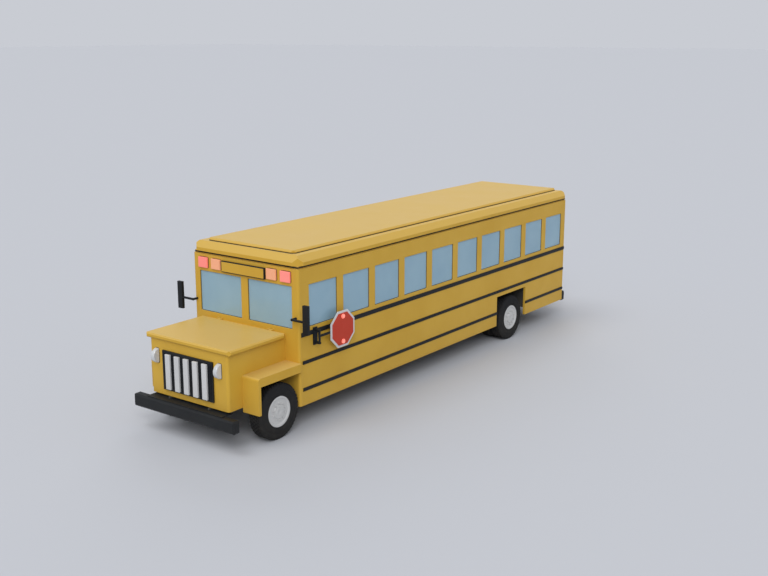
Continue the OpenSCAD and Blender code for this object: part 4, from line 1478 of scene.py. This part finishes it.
    def pipe(self, title: str, boxes: list[Box], wide: float, tall: float, seat_z: float) -> None:
        """Sews piping round the cushions' tops and the backs' fronts.

        Args:
            title: Start of the piece's name.
            boxes: Lowest and highest corner of each seat.
            wide: Width of a seat.
            tall: Height of a seat above the floor.
            seat_z: Height of the cushion's underside above the floor.
        """
        edge, end = self.pipe_in, self.pipe_end
        top = seat_z + self.cushion_h - self.pipe_r
        foot = seat_z + self.cushion_h + end
        rear, front, head = self.cushion_d - end, self.cushion_d + self.pipe_proud, tall - end
        lean = front + (head - foot) * self.back_lean
        loops = []
        for lo, _ in boxes:
            for path in (((edge, edge, top), (wide - edge, edge, top),
                          (wide - edge, rear, top), (edge, rear, top)),
                         ((edge, front, foot), (wide - edge, front, foot),
                          (wide - edge, lean, head), (edge, lean, head))):
                loops.append([lo + Vector(point) for point in path])
        piece = self.shop.beads.grow(title + "_piping", loops, True, self.shop.paint(PIPING_VINYL), "bus",
                                     "seat_vinyl", Corner=0.05, Radius=self.pipe_r)
        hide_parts("seats")

    def frames(self, benches: list[Box], driver: Box) -> None:
        """Bends the benches' legs and builds the driver's pedestal.

        Args:
            benches: Lowest and highest corner of each bench.
            driver: Those of the driver's seat.
        """
        stock, bend = Stock(), self.leg_bend
        wide, long, thick = self.shoe
        for lo, hi in benches:
            x = lo.x + self.leg_in if lo.x > 0 else hi.x - self.leg_in
            low, high = lo.z + thick, lo.z + self.cushion_z - self.leg_gap
            front, rear = (lo.y + y for y in self.leg_y)
            stock.tube([Vector((x, y, z)) for y, z in (
                (front, low), (front, high - bend), (front + bend, high),
                (rear - bend, high), (rear, high - bend), (rear, low))], self.leg_r)
            for y in (front, rear):
                stock.block(Vector((x - wide, y - long, lo.z)),
                            Vector((x + wide, y + long, lo.z + thick)), self.shoe_bevel)
        lo, hi = driver
        mid = (lo.x + hi.x) / 2
        near, far = (lo.y + y for y in self.base_y)
        stock.block(Vector((mid - self.base_half, near, lo.z)),
                    Vector((mid + self.base_half, far, lo.z + self.base_h)), self.base_bevel)
        near, far = (lo.y + y for y in self.bellow_y)
        for level in range(self.bellows):
            z = lo.z + self.base_h + level * self.bellow_pitch
            stock.block(Vector((mid - self.bellow_half, near, z)),
                        Vector((mid + self.bellow_half, far, z + self.bellow_h)), self.bellow_bevel, 3)
        piece = finished("seat_frames", stock.mesh(), self.shop.paint(CHASSIS_BLACK), "bus")
        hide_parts("seats")

    def edge_steps(self) -> None:
        """Fits a metal edging to each entry step."""
        lo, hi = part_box("entry_steps")
        stock = Stock()
        edges = sorted({(round(v.co.z, 4), round(v.co.x, 4)) for v in
                        self.shop.solids.frame["nodes"]["entry_steps"].data.vertices})
        for level in {z for z, _ in edges if z > lo.z + 0.05}:
            nose = min(x for z, x in edges if z == level)
            if nose > lo.x + 0.01:
                stock.block(
                    Vector((nose - self.edging_proud, lo.y + self.edging_end, level - self.edging_drop)),
                    Vector((nose + self.edging_w, hi.y - self.edging_end, level + self.edging_proud)),
                    0.002, 1)
        finished("step_edging", stock.mesh(), self.shop.paint(STEP_EDGING), "bus")

    def dress(self) -> None:
        """Lays the matting and finishes the dashboard."""
        self.shop.dress(RIBBED_MAT, "floor", "entry_steps")
        self.shop.dress(DASH_PLASTIC, "dashboard")
        self.shop.dress(GREEN_VINYL, "seats")


@dataclass
class Studio:
    """Pale floor, soft lamps and the camera at the photograph's angle."""

    eye: tuple[float, float, float] = (12.478, -16.6235, 6.526)
    pitch_deg: float = 13.519
    yaw_deg: float = 36.908
    lens_mm: float = 50.0
    sensor_mm: float = 36.0
    far: float = 1000.0
    floor_half: float = 400.0
    soft_deg: float = 35.0
    floor_colour: str = "#C6C8CE"
    sky_colour: str = "#D5D8DC"
    backdrop_colour: str = "#C9CCD3"
    sky_strength: float = 0.64

    def build(self) -> None:
        """Sets up the floor, the world, the lamps and the camera."""
        scene = bpy.context.scene
        scene.view_settings.view_transform = "Standard"
        self.floor()
        self.world(scene)
        self.lamp("key", (-3.0, -6.0, 16.0), 0.8)
        self.lamp("fill", (8.0, -10.0, 9.0), 1.4)
        self.lamp("back", (-7.0, 10.0, 7.0), 0.55, False)
        view = bpy.data.cameras.new("photo_view")
        view.lens = self.lens_mm
        view.sensor_width = self.sensor_mm
        view.clip_end = self.far
        camera = bpy.data.objects.new("photo_view", view)
        camera.location = self.eye
        camera.rotation_euler = (math.radians(90 - self.pitch_deg), 0.0, math.radians(self.yaw_deg))
        scene.collection.objects.link(camera)
        scene.camera = camera

    def floor(self) -> None:
        """Lays the floor with a faint unevenness."""
        half = self.floor_half
        mesh = bpy.data.meshes.new("studio_floor")
        edge = [(-half, -half, 0), (half, -half, 0), (half, half, 0), (-half, half, 0)]
        mesh.from_pydata(edge, [], [(0, 1, 2, 3)])
        paint = Finish("studio_floor_paint", self.floor_colour, self.floor_colour, Pattern.MOULDED, 40,
                       0.1, 1.0, gloss=0.0)
        mesh.materials.append(paint.make())
        floor = bpy.data.objects.new("studio_floor", mesh)
        bpy.context.scene.collection.objects.link(floor)
        floor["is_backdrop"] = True

    def world(self, scene: bpy.types.Scene) -> None:
        """Lights the scene evenly from all round, in front of a backdrop in the floor's colour.

        Args:
            scene: The scene.
        """
        sky = bpy.data.worlds.new("studio_sky")
        sky.use_nodes = True
        tree = sky.node_tree
        shade = tree.nodes["Background"]
        shade.inputs["Color"].default_value = linear(self.sky_colour)
        shade.inputs["Strength"].default_value = self.sky_strength
        backdrop = add_node(tree, "ShaderNodeBackground", inputs={
            "Color": linear(self.backdrop_colour), "Strength": 1.0})
        rays = add_node(tree, "ShaderNodeLightPath").outputs
        seen = rays["Is Camera Ray"]
        for ray in ("Is Glossy Ray", "Is Transmission Ray"):
            seen = add_node(tree, "ShaderNodeMath", {"operation": "MAXIMUM"}, {
                0: seen, 1: rays[ray]}).outputs["Value"]
        both = add_node(tree, "ShaderNodeMixShader", inputs={
            0: seen, 1: shade.outputs["Background"], 2: backdrop.outputs["Background"]})
        tree.links.new(both.outputs["Shader"], tree.nodes["World Output"].inputs["Surface"])
        scene.world = sky

    def lamp(self, name: str, place: tuple[float, float, float], strength: float,
             shines: bool = True) -> None:
        """Hangs a wide soft lamp that lights everything alike from one side.

        Args:
            name: The lamp's name.
            place: Side that it hangs on.
            strength: Its light on a surface that faces it.
            shines: Whether it shows in glossy surfaces.
        """
        light = bpy.data.lights.new(name, "SUN")
        light.angle = math.radians(self.soft_deg)
        light.energy = strength
        lamp = bpy.data.objects.new(name, light)
        lamp.location = place
        lamp.visible_glossy = shines
        lamp.rotation_euler = (-Vector(place)).to_track_quat("-Z", "Y").to_euler()
        bpy.context.scene.collection.objects.link(lamp)


def main() -> None:
    """Builds and dresses the bus."""
    logging.basicConfig(level=logging.INFO, format="%(message)s")
    shop = Workshop()
    Studio().build()
    for kind in (Shell, Glazing, Nose, Lamps, StopArm, Mirrors, Doors, WheelSet, Chassis, Cabin):
        group = kind(shop)
        group.build()
        group.dress()


if __name__ == "__main__":
    main()
